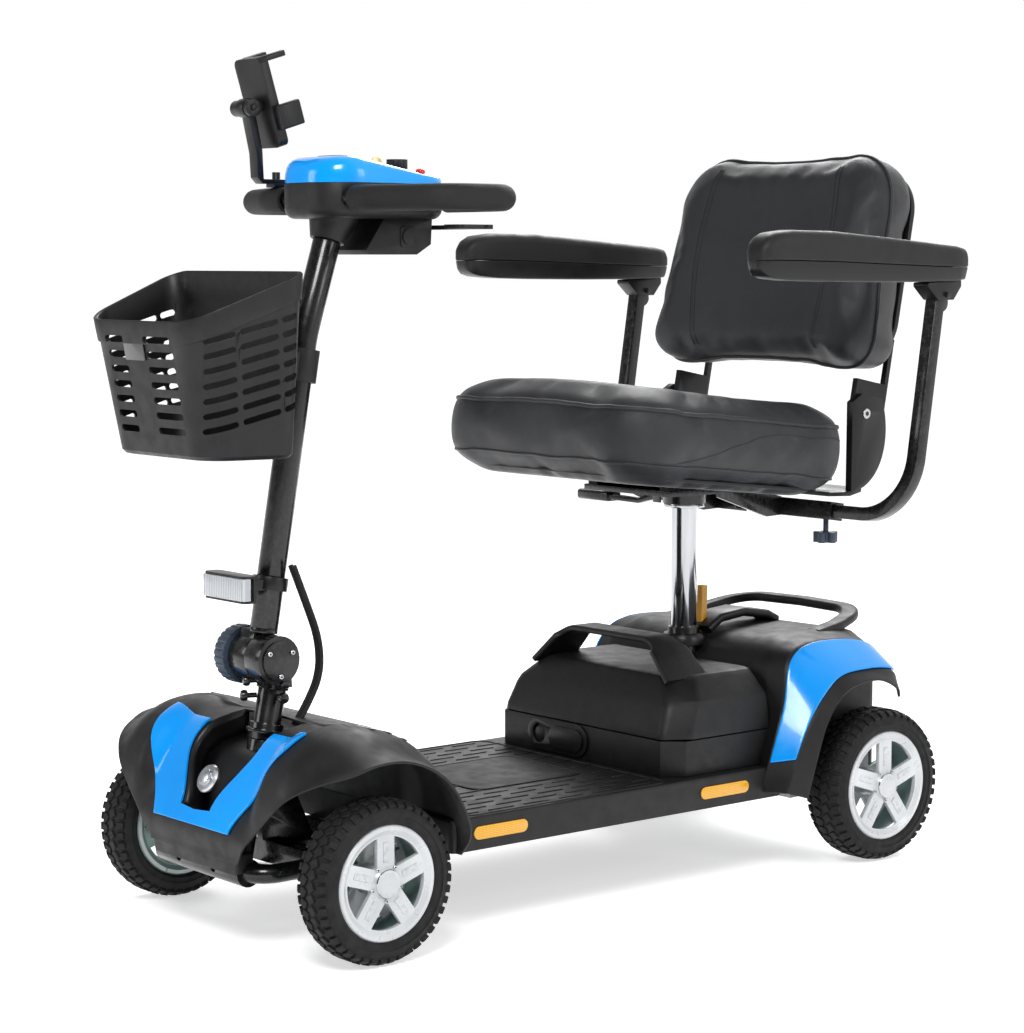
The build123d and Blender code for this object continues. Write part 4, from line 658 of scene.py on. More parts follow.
def rounded_outline(corners, radius, steps=6):
    """A closed outline with every corner rounded; radius may be one number or a list."""
    count = len(corners)
    radii = radius if isinstance(radius, (list, tuple)) else [radius] * count
    out = []
    for i, here in enumerate(corners):
        before, after = Vector(corners[i - 1]), Vector(corners[(i + 1) % count])
        here = Vector(here)
        if radii[i] <= 0:
            out.append(tuple(here))
            continue
        first, second = (before - here).normalized(), (after - here).normalized()
        half = first.angle(second) / 2
        reach = radii[i] / math.tan(half)
        start, end = here + first * reach, here + second * reach
        centre = here + (first + second).normalized() * (radii[i] / math.sin(half))
        a, b = start - centre, end - centre
        whole = a.angle(b)
        sign = 1 if a.x * b.y - a.y * b.x > 0 else -1
        for k in range(steps + 1):
            turn = sign * whole * k / steps
            out.append((centre.x + a.x * math.cos(turn) - a.y * math.sin(turn),
                        centre.y + a.x * math.sin(turn) + a.y * math.cos(turn)))
    return out


def box_outline(left, right, low, high, radius, steps=6):
    """A rectangle's outline with rounded corners."""
    return rounded_outline([(left, low), (right, low), (right, high), (left, high)], radius, steps)


def solid_wall(thing, thickness, offset):
    """Gives a skin its wall; offset -1 grows it inwards, 0 both ways and 1 outwards."""
    wall = thing.modifiers.new("wall", "SOLIDIFY")
    wall.thickness = thickness
    wall.offset = offset
    return bake(thing)


def face_towards(bm, way):
    """Turns a skin's faces so that, on the whole, they look one way."""
    bmesh.ops.recalc_face_normals(bm, faces=bm.faces)
    way = Vector(way)
    if sum(face.normal.dot(way) * face.calc_area() for face in bm.faces) < 0:
        bmesh.ops.reverse_faces(bm, faces=bm.faces)


def on_top(u, v, w):
    return (u, v, w)


def on_side(u, v, w):
    """u along +Y, v up, w along +X."""
    return (w, u, v)


def on_front(u, v, w):
    """u along +X, v up, w along -Y."""
    return (u, -w, v)


# ------------------------------------------------------------------ repeats, with geometry nodes
def repeat_tree(name, kind):
    """A node tree that stands one block or disc on each point, turned to the point's directions."""
    tree = bpy.data.node_groups.new(name, "GeometryNodeTree")
    tree.is_modifier = True
    face = tree.interface
    face.new_socket("Geometry", in_out="INPUT", socket_type="NodeSocketGeometry")
    face.new_socket("Size", in_out="INPUT", socket_type="NodeSocketVector")
    face.new_socket("Material", in_out="INPUT", socket_type="NodeSocketMaterial")
    face.new_socket("Geometry", in_out="OUTPUT", socket_type="NodeSocketGeometry")
    nodes, links = tree.nodes, tree.links
    inside, outside = nodes.new("NodeGroupInput"), nodes.new("NodeGroupOutput")
    stand = nodes.new("GeometryNodeInstanceOnPoints")
    links.new(inside.outputs["Geometry"], stand.inputs["Points"])
    if kind == "block":
        shape = nodes.new("GeometryNodeMeshCube")
        links.new(inside.outputs["Size"], shape.inputs["Size"])
    else:
        shape = nodes.new("GeometryNodeMeshCylinder")
        shape.inputs["Vertices"].default_value = 6 if kind == "hex" else 20
        parts = nodes.new("ShaderNodeSeparateXYZ")
        links.new(inside.outputs["Size"], parts.inputs[0])
        links.new(parts.outputs["X"], shape.inputs["Radius"])
        links.new(parts.outputs["Z"], shape.inputs["Depth"])
    links.new(shape.outputs["Mesh"], stand.inputs["Instance"])
    last = None
    for axis, attribute in (("Z", "way"), ("X", "along")):
        read = nodes.new("GeometryNodeInputNamedAttribute")
        read.data_type = "FLOAT_VECTOR"
        read.inputs["Name"].default_value = attribute
        turn = nodes.new("FunctionNodeAlignRotationToVector")
        turn.axis = axis
        if axis == "X":
            turn.pivot_axis = "Z"
            links.new(last, turn.inputs["Rotation"])
        links.new(read.outputs["Attribute"], turn.inputs["Vector"])
        last = turn.outputs["Rotation"]
    links.new(last, stand.inputs["Rotation"])
    real = nodes.new("GeometryNodeRealizeInstances")
    links.new(stand.outputs["Instances"], real.inputs["Geometry"])
    coat = nodes.new("GeometryNodeSetMaterial")
    links.new(real.outputs["Geometry"], coat.inputs["Geometry"])
    links.new(inside.outputs["Material"], coat.inputs["Material"])
    links.new(coat.outputs["Geometry"], outside.inputs["Geometry"])
    return tree


TREES = {}


def repeats(places, size, name, finish, kind="block", round_off=0.0):
    """Stands one shape at every (point, way, along) place and returns the plain mesh."""
    if kind not in TREES:
        TREES[kind] = repeat_tree("repeat_" + kind, kind)
    mesh = bpy.data.meshes.new(name)
    mesh.from_pydata([tuple(p) for p, _, _ in places], [], [])
    for attribute, which in (("way", 1), ("along", 2)):
        layer = mesh.attributes.new(attribute, "FLOAT_VECTOR", "POINT")
        layer.data.foreach_set("vector", [part for place in places for part in place[which]])
    made = link(bpy.data.objects.new(name, mesh))
    mod = made.modifiers.new("repeat", "NODES")
    mod.node_group = TREES[kind]
    sockets = {s.name: s.identifier for s in TREES[kind].interface.items_tree if s.in_out == "INPUT"}
    mod[sockets["Size"]] = tuple(size)
    mod[sockets["Material"]] = MATS[finish]
    bake(made)
    for layer in ("way", "along"):
        found = made.data.attributes.get(layer)
        if found:
            made.data.attributes.remove(found)
    if not made.data.materials:
        made.data.materials.append(MATS[finish])
    if round_off:
        bevel(made, round_off, 1)
    soften(made, 40)
    return made


def screws(places, radius, name):
    """Button-head screws at (point, way) places; each socket is a gloss-black hex on the steel head, painted
    shade standing in for the shaded hex recess.
    """
    full = [(Vector(p), Vector(w).normalized(), basis(w)[0]) for p, w in places]
    heads = repeats([(p + w * 0.0007, w, a) for p, w, a in full], (radius, radius, 0.0028),
                    name + "_head", "steel", "disc", 0.0006)
    # Painted shade: a dark gloss-black hex stands where the socket recess would lie in shade.
    sockets = repeats([(p + w * 0.0018, w, a) for p, w, a in full], (radius * 0.5, radius, 0.0012),
                      name + "_socket", "gloss_black", "hex")
    return join([heads, sockets], name)


# ------------------------------------------------------------------ stage
class SCOOTER_OT_stage(bpy.types.Operator):
    """Floor, soft studio light and the camera"""

    bl_idname = "scooter.stage"
    bl_label = "Stage"

    def execute(self, context):
        bm = bmesh.new()
        bmesh.ops.create_grid(bm, x_segments=1, y_segments=1, size=40)
        floor = from_bmesh(bm, "floor", None)
        mat, tree, shader = new_material("floor_paint")
        shader.inputs["Base Color"].default_value = (0.88, 0.88, 0.88, 1)
        shader.inputs["Roughness"].default_value = 0.75
        shader.inputs["Specular IOR Level"].default_value = 0.1
        shader.inputs["Emission Color"].default_value = (1, 1, 1, 1)
        shader.inputs["Emission Strength"].default_value = 0.55
        floor.data.materials.append(mat)
        world = bpy.data.worlds.new("studio")
        world.use_nodes = True
        tree = world.node_tree
        coords = node(tree, "ShaderNodeTexCoord")
        split = node(tree, "ShaderNodeSeparateXYZ")
        tree.links.new(coords.outputs["Generated"], split.inputs[0])
        half = node(tree, "ShaderNodeMath", operation="MULTIPLY_ADD")
        half.inputs[1].default_value = 0.5
        half.inputs[2].default_value = 0.5
        tree.links.new(split.outputs["Y"], half.inputs[0])
        sky = ramp(tree, half.outputs[0], [(0.0, (0.10, 0.10, 0.11)), (0.42, (0.32, 0.32, 0.33)),
                                           (0.66, (1.0, 1.0, 1.0))])
        tree.links.new(sky, tree.nodes["Background"].inputs["Color"])
        tree.nodes["Background"].inputs["Strength"].default_value = 1.0
        context.scene.world = world
        lamps = (
            ("key", (2.2, -2.4, 3.2), 1.3, 110), ("fill", (3.6, 1.4, 2.0), 1.2, 22),
            ("back", (-2.0, 2.6, 3.0), 1.8, 90), ("front", (-1.6, -3.0, 1.6), 1.2, 20),
        )
        for name, place, size, power in lamps:
            data = bpy.data.lights.new(name, "AREA")
            data.size = size
            data.energy = power
            lamp = link(bpy.data.objects.new(name, data))
            lamp.location = place
            lamp.rotation_euler = (Vector((0, 0, 0.5)) - Vector(place)).to_track_quat("-Z", "Y").to_euler()
        camera_data = bpy.data.cameras.new("camera")
        camera_data.lens = sizes().lens_distance
        camera_data.sensor_width = 36
        camera_data.clip_end = 100
        camera = link(bpy.data.objects.new("camera", camera_data))
        turn, dip = math.radians(50.68), math.radians(5.579)
        camera.location = (2.9183, -2.3921, 0.9013)
        look = Vector((-math.sin(turn) * math.cos(dip), math.cos(turn) * math.cos(dip), -math.sin(dip)))
        camera.rotation_euler = look.to_track_quat("-Z", "Y").to_euler()
        context.scene.camera = camera
        context.scene.view_settings.view_transform = "Standard"
        return {"FINISHED"}


# ------------------------------------------------------------------ cables
CABLE_ROUTE = (
    (-0.406, 0.494), (-0.383, 0.440), (-0.364, 0.392), (-0.362, 0.345), (-0.383, 0.305), (-0.404, 0.277),
)
CABLE_RADIUS = 0.0035


def spline_points(route, name):
    """The smooth line that a NURBS spline draws through a route's control points."""
    data = bpy.data.curves.new(name, "CURVE")
    data.dimensions = "3D"
    data.resolution_u = 10
    spline = data.splines.new("NURBS")
    spline.points.add(len(route) - 1)
    for point, place in zip(spline.points, route):
        point.co = (*place, 1)
    spline.order_u = 3
    spline.use_endpoint_u = True
    holder = link(bpy.data.objects.new(name, data))
    bpy.context.view_layer.update()
    line = bpy.data.meshes.new_from_object(holder)
    points = [v.co.copy() for v in line.vertices]
    bpy.data.objects.remove(holder)
    return points


class SCOOTER_OT_cables(bpy.types.Operator):
    """The two cables from the tiller to the steering stem"""

    bl_idname = "scooter.cables"
    bl_label = "Cables"

    def execute(self, context):
        for name, across in (("cable_inner", 0.026), ("cable_outer", 0.034)):
            line = spline_points([(across, y, z) for y, z in CABLE_ROUTE], name + "_route")
            cable = sweep_tube(line, CABLE_RADIUS, name, "cable", 16)
            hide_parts("tiller_cables")
            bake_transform(cable)
        return {"FINISHED"}


# ------------------------------------------------------------------ wheels
WHEELS = (
    ("front", "left", 1), ("front", "right", -1), ("rear", "left", 1), ("rear", "right", -1),
)


def wheel_facts(end, side_name):
    low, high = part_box(f"{end}_tyre_{side_name}")
    centre = (low + high) / 2
    return centre, (high.z - low.z) / 2, high.x - low.x


class SCOOTER_OT_wheels(bpy.types.Operator):
    """Tyres with their tread, rims, hub caps and wheel bolts"""

    bl_idname = "scooter.wheels"
    bl_label = "Wheels"

    def execute(self, context):
        for end, side_name, side in WHEELS:
            centre, radius, width = wheel_facts(end, side_name)
            rim_low, rim_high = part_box(f"{end}_rim_{side_name}")
            rim_r = (rim_high.z - rim_low.z) / 2
            body = f"{end}_{side_name}_wheel"
            self.tyre(centre, radius, width, rim_r, end, side_name, body)
            self.rim(centre, rim_r, width, side, end, side_name, body)
        return {"FINISHED"}

    def tyre(self, centre, radius, width, rim_r, end, side_name, body):
        half, low = width / 2, radius - sizes().tread_height
        profile = []
        for along, r in (
            (-half + 0.004, rim_r + 0.0004), (-half + 0.001, rim_r + 0.004), (-half + 0.002, rim_r + 0.008),
            (-half + 0.0006, rim_r + 0.013), (-half, low - 0.018), (-half + 0.003, low - 0.009),
            (-half + 0.009, low - 0.003), (-half + 0.018, low), (0, low + 0.0004),
            (half - 0.018, low), (half - 0.009, low - 0.003), (half - 0.003, low - 0.009),
            (half, low - 0.018), (half - 0.0006, rim_r + 0.013), (half - 0.002, rim_r + 0.008),
            (half - 0.001, rim_r + 0.004), (half - 0.004, rim_r + 0.0004),
        ):
            profile.append((along, r))
        rings = []
        for along, r in profile:
            rings.append(circle_points(centre + Vector((along, 0, 0)), (0, 1, 0), (0, 0, 1), r, 96))
        bm = bmesh.new()
        rows = [[bm.verts.new(p) for p in ring] for ring in rings]
        for low_row, high_row in zip(rows, rows[1:] + rows[:1]):
            for i in range(96):
                j = (i + 1) % 96
                bm.faces.new((low_row[i], low_row[j], high_row[j], high_row[i]))
        carcass = from_bmesh(bm, "carcass", "tyre", 45)
        count = sizes().tread_blocks
        middle, shoulder = [], []
        for i in range(count):
            for row, bias in ((-1, 0.0), (1, 0.5)):
                turn = 2 * math.pi * (i + bias) / count
                way = Vector((0, math.cos(turn), math.sin(turn)))
                round_way = Vector((0, -math.sin(turn), math.cos(turn)))
                lean = (round_way + Vector((row * 0.55, 0, 0))).normalized()
                middle.append((centre + Vector((row * half * 0.26, 0, 0)) + way * (low - 0.0004), way, lean))
                out_way = (way + Vector((row * 0.55, 0, 0))).normalized()
                edge = centre + Vector((row * half * 0.76, 0, 0)) + way * (low - 0.0042)
                lean = round_way.cross(out_way).normalized()
                shoulder.append((edge, out_way, lean))
        pitch = 2 * math.pi * radius / count
        centre_blocks = repeats(middle, (pitch * 0.72, half * 0.40, 0.0066), "tread_centre", "tyre", "block",
                                0.0008)
        edge_blocks = repeats(shoulder, (half * 0.36, pitch * 0.62, 0.0066), "tread_edge", "tyre", "block",
                              0.0008)
        tyre = join([carcass, centre_blocks, edge_blocks], f"{end}_tyre_{side_name}_tread")
        soften(tyre, 40)
        stand_for(tyre, body, "tyre_rubber", f"{end}_tyre_{side_name}")

    def rim(self, centre, rim_r, width, side, end, side_name, body):
        bm = copy_node(f"{end}_rim_{side_name}")
        made = from_bmesh(bm, f"{end}_rim_{side_name}_finished", "silver", 30, recalc=False)
        made.data.materials.append(MATS["barrel"])
        made.data.materials.append(MATS["gloss_black"])
        # Painted shade: faces deep inside the rim that do not face outwards take the darker barrel finish,
        # whose mint tint is the rim's own.
        for face in made.data.polygons:
            off = face.center - centre
            r = math.hypot(off.y, off.z)
            inner = face.normal.x * side < 0.3 and off.x * side < width / 2 - 0.012
            if r > 0.024 and inner:
                face.material_index = 1
        bevel(made, 0.0009, 2)
        soften(made, 30)
        face_x = (width / 2 - 0.003) * side
        bits = []
        groove = []
        for i in range(5):
            turn = math.pi / 2 + 2 * math.pi * i / 5
            way = Vector((0, math.cos(turn), math.sin(turn)))
            start = centre + Vector((face_x - 0.0038 * side, 0, 0))
            groove.append((start + way * (rim_r * 0.53), Vector((side, 0, 0)), way))
        rib = (rim_r * 0.34, 0.0085, 0.0016)
        bits.append(repeats(groove, rib, "spoke_pocket", "silver", "block", 0.0005))
        cap_profile = [(0.0, 0.0185), (0.0016, 0.0190), (0.0028, 0.0182), (0.0030, 0.0168)]
        bits.append(lathe(cap_profile, centre + Vector((face_x - 0.0005 * side, 0, 0)), (side, 0, 0),
                          "hub_ring", "chrome", 48))
        places = []
        for i in range(5):
            turn = math.pi / 2 + math.pi / 5 + 2 * math.pi * i / 5
            way = Vector((0, math.cos(turn), math.sin(turn)))
            places.append((centre + Vector((face_x - 0.0039 * side, 0, 0)) + way * 0.0235, (side, 0, 0)))
        bits.append(screws(places, 0.0027, "wheel_screws"))
        whole = join([made, *bits], f"{end}_rim_{side_name}_whole")
        soften(whole, 32)
        stand_for(whole, body, "rim_silver", f"{end}_rim_{side_name}")


# ------------------------------------------------------------------ front body
FRONT_AXLE = Vector((0, -0.427, 0.1085))
PANEL_WALL = 0.0034
HOOD_PROFILE = ((14, 0.156), (28, 0.158), (45, 0.178), (60, 0.1925), (70, 0.1875), (83, 0.181), (95, 0.176),
                (106, 0.172), (118, 0.157), (130, 0.144), (144, 0.1355), (161, 0.1315), (171, 0.122))


def from_table(table, value):
    """A smooth curve through a table of (key, value) pairs."""
    if value <= table[0][0]:
        return table[0][1]
    if value >= table[-1][0]:
        return table[-1][1]
    i = next(k for k, (key, _) in enumerate(table[1:]) if value <= key)
    before, after = table[max(i - 1, 0)], table[min(i + 2, len(table) - 1)]
    (x0, y0), (x1, y1) = table[i], table[i + 1]
    slope0 = (y1 - before[1]) / (x1 - before[0])
    slope1 = (after[1] - y0) / (after[0] - x0)
    span = x1 - x0
    t = (value - x0) / span
    return ((2 * t ** 3 - 3 * t ** 2 + 1) * y0 + (t ** 3 - 2 * t ** 2 + t) * span * slope0
            + (3 * t ** 2 - 2 * t ** 3) * y1 + (t ** 3 - t ** 2) * span * slope1)


def ease(value, low, high):
    t = min(1.0, max(0.0, (value - low) / (high - low)))
    return t * t * (3 - 2 * t)


FENDER_FRONT = ((0, 0.151), (20, 0.165), (38, 0.180), (60, 0.187), (100, 0.187), (118, 0.178), (135, 0.160),
                (150, 0.140), (165, 0.128), (175, 0.122))
LIP_REACH = ((0, 0.222), (12, 0.246), (28, 0.266), (40, 0.273), (100, 0.273), (112, 0.262), (124, 0.236),
             (136, 0.200), (148, 0.164), (158, 0.136), (168, 0.114), (175, 0.104))


def hood_radius(across, turn):
    """How far the front body's skin stands from the axle line, at a distance across and an angle."""
    side = abs(across)
    centre = from_table(HOOD_PROFILE, turn)
    fender = from_table(FENDER_FRONT, turn)
    lip = from_table(LIP_REACH, turn)
    fall = ease(side, 0.178, max(lip, 0.19))
    fender -= 0.030 * fall * ease(turn, 8, 40) * (1 - ease(turn, 105, 140))
    return centre + (fender - centre) * ease(side, 0.112, 0.150)


def hood_point(across, turn, off=0.0):
    r = hood_radius(across, turn) + off
    angle = math.radians(turn)
    return Vector((across, FRONT_AXLE.y + r * math.cos(angle), FRONT_AXLE.z + r * math.sin(angle)))


def recess_half(turn):
    """Half-width of the opening round the steering column, by angle."""
    height = hood_point(0, turn).z
    if turn > 149:
        return 0.0
    return 0.032 + 0.041 * ease(height, 0.179, 0.262)


class SCOOTER_OT_front_body(bpy.types.Operator):
    """Front fairing with its mudguards, blue trim, bumper and slits"""

    bl_idname = "scooter.front_body"
    bl_label = "Front Body"

    def execute(self, context):
        self.fairing()
        self.trim()
        bumper = rounded_copy("front_bumper", "frame", 0.003, 3)
        stand_for(bumper, "chassis", "black_paint", "front_bumper")
        return {"FINISHED"}

    def fairing(self):
        turns = [3 + 171 * i / 68 for i in range(69)]
        bm = bmesh.new()
        grid = {}
        steps = 56
        for i, turn in enumerate(turns):
            lip = from_table(LIP_REACH, turn)
            inner = recess_half(turn) if 84 < turn < 149 else 0.0
            for side in (-1, 1):
                for k in range(steps + 1):
                    across = side * (inner + (lip - inner) * k / steps)
                    grid[i, side, k] = bm.verts.new(hood_point(across, turn))
        for i in range(len(turns) - 1):
            for side in (-1, 1):
                for k in range(steps):
                    bm.faces.new((grid[i, side, k], grid[i, side, k + 1], grid[i + 1, side, k + 1],
                                  grid[i + 1, side, k]))
        bmesh.ops.remove_doubles(bm, verts=bm.verts, dist=0.0001)
        face_towards(bm, (0, 0, 1))
        skin = from_bmesh(bm, "front_skin", "moulding", 50, recalc=False)
        solid_wall(skin, 0.0032, -1)
        bevel(skin, 0.0010, 2, 50)
        floor = []
        for turn in [84 + 66 * i / 20 for i in range(21)]:
            half = recess_half(turn) + 0.004
            floor.append([hood_point(side * half, turn, -0.034) for side in (-1, -0.5, 0, 0.5, 1)])
        pan = loft(floor, "recess_floor", "fine", closed=False, caps=False)
        solid_wall(pan, 0.003, 0)
        walls = []
        for side in (-1, 1):
            rows = []
            for turn in [84 + 65 * i / 24 for i in range(25)]:
                half = recess_half(turn) * side
                rows.append([hood_point(half, turn, off) for off in (-0.001, -0.012, -0.024, -0.036)])
            wall_piece = loft(rows, "recess_wall", "fine", closed=False, caps=False)
            solid_wall(wall_piece, 0.0025, 0)
            walls.append(wall_piece)
        slits = []
        for side in (-1, 1):
            for k in range(3):
                turn = 62 + 8.5 * k
                point = hood_point(side * 0.173, turn, -0.0006)
                way = (point - Vector((point.x, FRONT_AXLE.y, FRONT_AXLE.z))).normalized()
                slits.append((point, way, Vector((1, 0, 0))))
        # Painted shade: the slits are gloss-black bars that stand in for the shade inside the slit openings.
        slit_shade_piece = repeats(slits, (0.036, 0.0075, 0.0022), "fairing_slit_shade", "gloss_black", "block", 0.0007)
        apron = self.apron()
        whole = join([skin, pan, *walls, slit_shade_piece, apron], "front_fairing_skin")
        stand_for(whole, "chassis", "black_plastic", "front_fairing")
        bolt = lathe([(0, 0.019), (0.004, 0.020), (0.007, 0.018), (0.0072, 0.012), (0.0105, 0.011),
                      (0.0115, 0.009)], (0, -0.520, 0.214), (0, -0.86, 0.51), "lock_bolt", "steel", 40)
        stand_for(bolt, "chassis", "steel")

    def apron(self):
        """The lower front panel between the bumper arms."""
        outline = rounded_outline([(-0.100, 0.104), (0.100, 0.104), (0.104, 0.134), (-0.104, 0.134)], 0.006)
        plate = slab(outline, 0.520, 0.546, on_front, "front_apron", "moulding", 0.003, 3)
        return plate

    def trim(self):
        rows = []
        bands = []
        for side in (-1, 1):
            rows = []
            for turn in [103.5 + 54.5 * i / 40 for i in range(41)]:
                height = hood_point(0, turn).z
                inner = recess_half(turn) + 0.004
                if turn > 149:
                    inner = 0.0
                grow = ease(height, 0.149, 0.264)
                outer = 0.088 + 0.066 * grow
                rows.append([hood_point(side * (inner + (outer - inner) * k / 12), turn, 0.0006)
                             for k in range(13)])
            bands.append(loft(rows, "trim_band", "blue", closed=False, caps=False))
        band = join(bands, "trim_both")
        bm = bmesh.new()
        bm.from_mesh(band.data)
        bmesh.ops.remove_doubles(bm, verts=bm.verts, dist=0.0002)
        face_towards(bm, (0, -1, 0))
        bm.to_mesh(band.data)
        bm.free()
        solid_wall(band, PANEL_WALL, 1)
        bevel(band, 0.0014, 3, 45)
        soften(band, 45)
        stand_for(band, "chassis", "blue_plastic", "front_trim")


# ------------------------------------------------------------------ carried-over nodes
PLAIN = (
    ("chassis_frame", "chassis", "frame", 0.0015, "black_paint"),
    ("knuckle_left", "left_knuckle", "frame", 0.0012, "black_paint"),
    ("knuckle_right", "right_knuckle", "frame", 0.0012, "black_paint"),
    ("tie_rod", "tie", "frame", 0.0008, "black_paint"),
    ("drive_unit", "chassis", "alloy", 0.003, "steel"),
    ("steering_stem", "stem", "frame", 0.0010, "black_paint"),
    ("stem_knuckle", "stem", "frame", 0.0016, "black_paint"),
    ("tiller_knuckle", "tiller", "frame", 0.0016, "black_paint"),
    ("tilt_dial", "tilt_knob", "grey", 0.0010, "grey_plastic"),
    ("tiller_tube", "tiller", "frame", 0.0006, "black_paint"),
    ("handlebar", "tiller", "frame", 0.0006, "black_paint"),
    ("handlebar_grips", "tiller", "foam", 0.0025, "foam_rubber"),
    ("port_box", "tiller", "moulding", 0.0020, "black_plastic"),
    ("basket_bracket", "tiller", "moulding", 0.0020, "black_plastic"),
    ("phone_arm", "tiller", "fine", 0.0014, "black_plastic"),
    ("phone_cradle", "cradle", "fine", 0.0014, "black_plastic"),
    ("phone_jaw", "jaw", "fine", 0.0012, "black_plastic"),
    ("throttle_lever", "throttle", "fine", 0.0014, "black_plastic"),
    ("battery_base", "battery_box", "moulding", 0.0030, "black_plastic"),
    ("freewheel_lever", "freewheel", "amber", 0.0020, "amber_plastic"),
    ("seat_post", "post", "chrome", 0.0008, "chrome_tube"),
    ("seat_frame", "seat", "frame", 0.0014, "black_paint"),
    ("seat_shell", "seat", "fine", 0.0016, "black_plastic"),
    ("swivel_lever", "swivel_handle", "frame", 0.0016, "black_plastic"),
    ("backrest_shell", "back", "fine", 0.0022, "black_plastic"),
    ("star_knob_left", "left_knob", "grey", 0.0012, "grey_plastic"),
    ("star_knob_right", "right_knob", "grey", 0.0012, "grey_plastic"),
    ("arm_bar_left", "left_arm", "frame", 0.0022, "black_paint"),
    ("arm_bar_right", "right_arm", "frame", 0.0022, "black_paint"),
    ("deck_tray", "chassis", "moulding", 0.0015, "black_plastic"),
    ("side_reflectors", "chassis", "amber", 0.0008, "amber_plastic"),
    ("charge_socket", "battery_box", "fine", 0.0010, "black_plastic"),
    ("port_cover", "charge_flap", "fine", 0.0008, "black_plastic"),
    ("headlight_housing", "tiller", "fine", 0.0016, "black_plastic"),
    ("headlight_lens", "tiller", "lens", 0.0012, "clear_lens"),
    ("console_base", "tiller", "moulding", 0.0020, "black_plastic"),
    ("speed_dial", "speed_knob", "fine", 0.0012, "grey_plastic"),
    ("horn_button", "horn", "red", 0.0008, "red_plastic"),
)


class SCOOTER_OT_metalwork(bpy.types.Operator):
    """Finished copies of the pieces whose CAD shape is already right"""

    bl_idname = "scooter.metalwork"
    bl_label = "Metalwork and Mouldings"

    def execute(self, context):
        for name, body, finish, width, slot_name in PLAIN:
            made = rounded_copy(name, finish, width, 2)
            stand_for(made, body, slot_name, name)
        dress("battery_cells", "moulding")
        return {"FINISHED"}


# ------------------------------------------------------------------ cushions
def cushion_loft(outline, levels, place, name):
    """A closed cushion: scaled-in copies of an outline at each level, joined and capped."""
    centre_u = sum(u for u, _ in outline) / len(outline)
    centre_v = sum(v for _, v in outline) / len(outline)
    rings = []
    for height, inset in levels:
        ring = []
        for u, v in outline:
            way = Vector((u - centre_u, v - centre_v))
            reach = way.length
            way = way / reach * (reach - inset)
            ring.append(Vector(place(centre_u + way.x, centre_v + way.y, height)))
        rings.append(ring)
    return loft(rings, name, "leather", smooth=60)


def puff(thing, voxel, pressure, cap):
    """Swells a cushion like foam under its cover, then smooths it."""
    mod = thing.modifiers.new("remesh", "REMESH")
    mod.mode = "VOXEL"
    mod.voxel_size = voxel
    bake(thing)
    start = [v.co.copy() for v in thing.data.vertices]
    cloth = thing.modifiers.new("cloth", "CLOTH")
    cloth.settings.quality = 5
    cloth.settings.mass = 0.3
    cloth.settings.tension_stiffness = 12
    cloth.settings.compression_stiffness = 12
    cloth.settings.bending_stiffness = 0.8
    cloth.settings.use_pressure = True
    cloth.settings.uniform_pressure_force = pressure
    cloth.settings.effector_weights.gravity = 0
    scene = bpy.context.scene
    scene.frame_start, scene.frame_end = 1, 20
    for step in range(1, 21):
        scene.frame_set(step)
    bake(thing)
    for vertex, before in zip(thing.data.vertices, start):
        move = vertex.co - before
        if move.length > cap:
            vertex.co = before + move.normalized() * cap
    scene.frame_set(1)
    calm = thing.modifiers.new("calm", "SMOOTH")
    calm.iterations = 14
    fine = thing.modifiers.new("fine", "SUBSURF")
    fine.levels = fine.render_levels = 1
    bake(thing)
    for face in thing.data.polygons:
        face.use_smooth = True
    if not thing.data.materials:
        thing.data.materials.append(MATS["leather"])
    return thing


def onto(thing, points, lift=0.0):
    """Drops points onto a piece's nearest surface; returns (point, normal) pairs."""
    from mathutils.bvhtree import BVHTree

    bm = bmesh.new()
    bm.from_mesh(thing.data)
    tree = BVHTree.FromBMesh(bm)
    found = []
    for point in points:
        place, normal, _, _ = tree.find_nearest(Vector(point))
        found.append((place + normal * lift, normal))
    bm.free()
    return found


def loop_tube(points, radius, name, finish, count=10):
    """A closed tube through a ring of points."""
    points = [Vector(p) for p in points]
    total = len(points)
    ways = [(points[(i + 1) % total] - points[i - 1]).normalized() for i in range(total)]
    across, up = basis(ways[0])
    bm = bmesh.new()
    rows = []
    for i, point in enumerate(points):
        if i:
            turn = ways[i - 1].rotation_difference(ways[i])
            across, up = turn @ across, turn @ up
        rows.append([bm.verts.new(p) for p in circle_points(point, across, up, radius, count)])
    shift_best = min(range(count), key=lambda s: (rows[-1][0].co - rows[0][s].co).length)
    for i in range(total):
        low, high = rows[i], rows[(i + 1) % total]
        shift = shift_best if i == total - 1 else 0
        for k in range(count):
            m = (k + 1) % count
            bm.faces.new((low[k], low[m], high[(m + shift) % count], high[(k + shift) % count]))
    return from_bmesh(bm, name, finish, 60)


def resample(points, pitch, closed=False):
    """Points spaced evenly along a line."""
    points = [Vector(p) for p in points]
    if closed:
        points = points + [points[0]]
    out = [points[0]]
    carry = 0.0
    for a, b in zip(points, points[1:]):
        span = (b - a).length
        if span < 1e-9:
            continue
        at = pitch - carry
        while at <= span:
            out.append(a.lerp(b, at / span))
            at += pitch
        carry = span - (at - pitch)
    return out


def stitches(thing, line, name, lift=0.0004):
    """Raised thread stitches along a line on a piece's surface."""
    pitch = sizes().stitch_pitch
    spots = resample(line, pitch)
    found = onto(thing, spots, lift)
    places = []
    for i, (place, normal) in enumerate(found):
        ahead = found[min(i + 1, len(found) - 1)][0] - found[max(i - 1, 0)][0]
        if ahead.length > 1e-6:
            places.append((place, normal, ahead.normalized()))
    return repeats(places, (pitch * 0.68, 0.0010, 0.0010), name, "thread", "block")


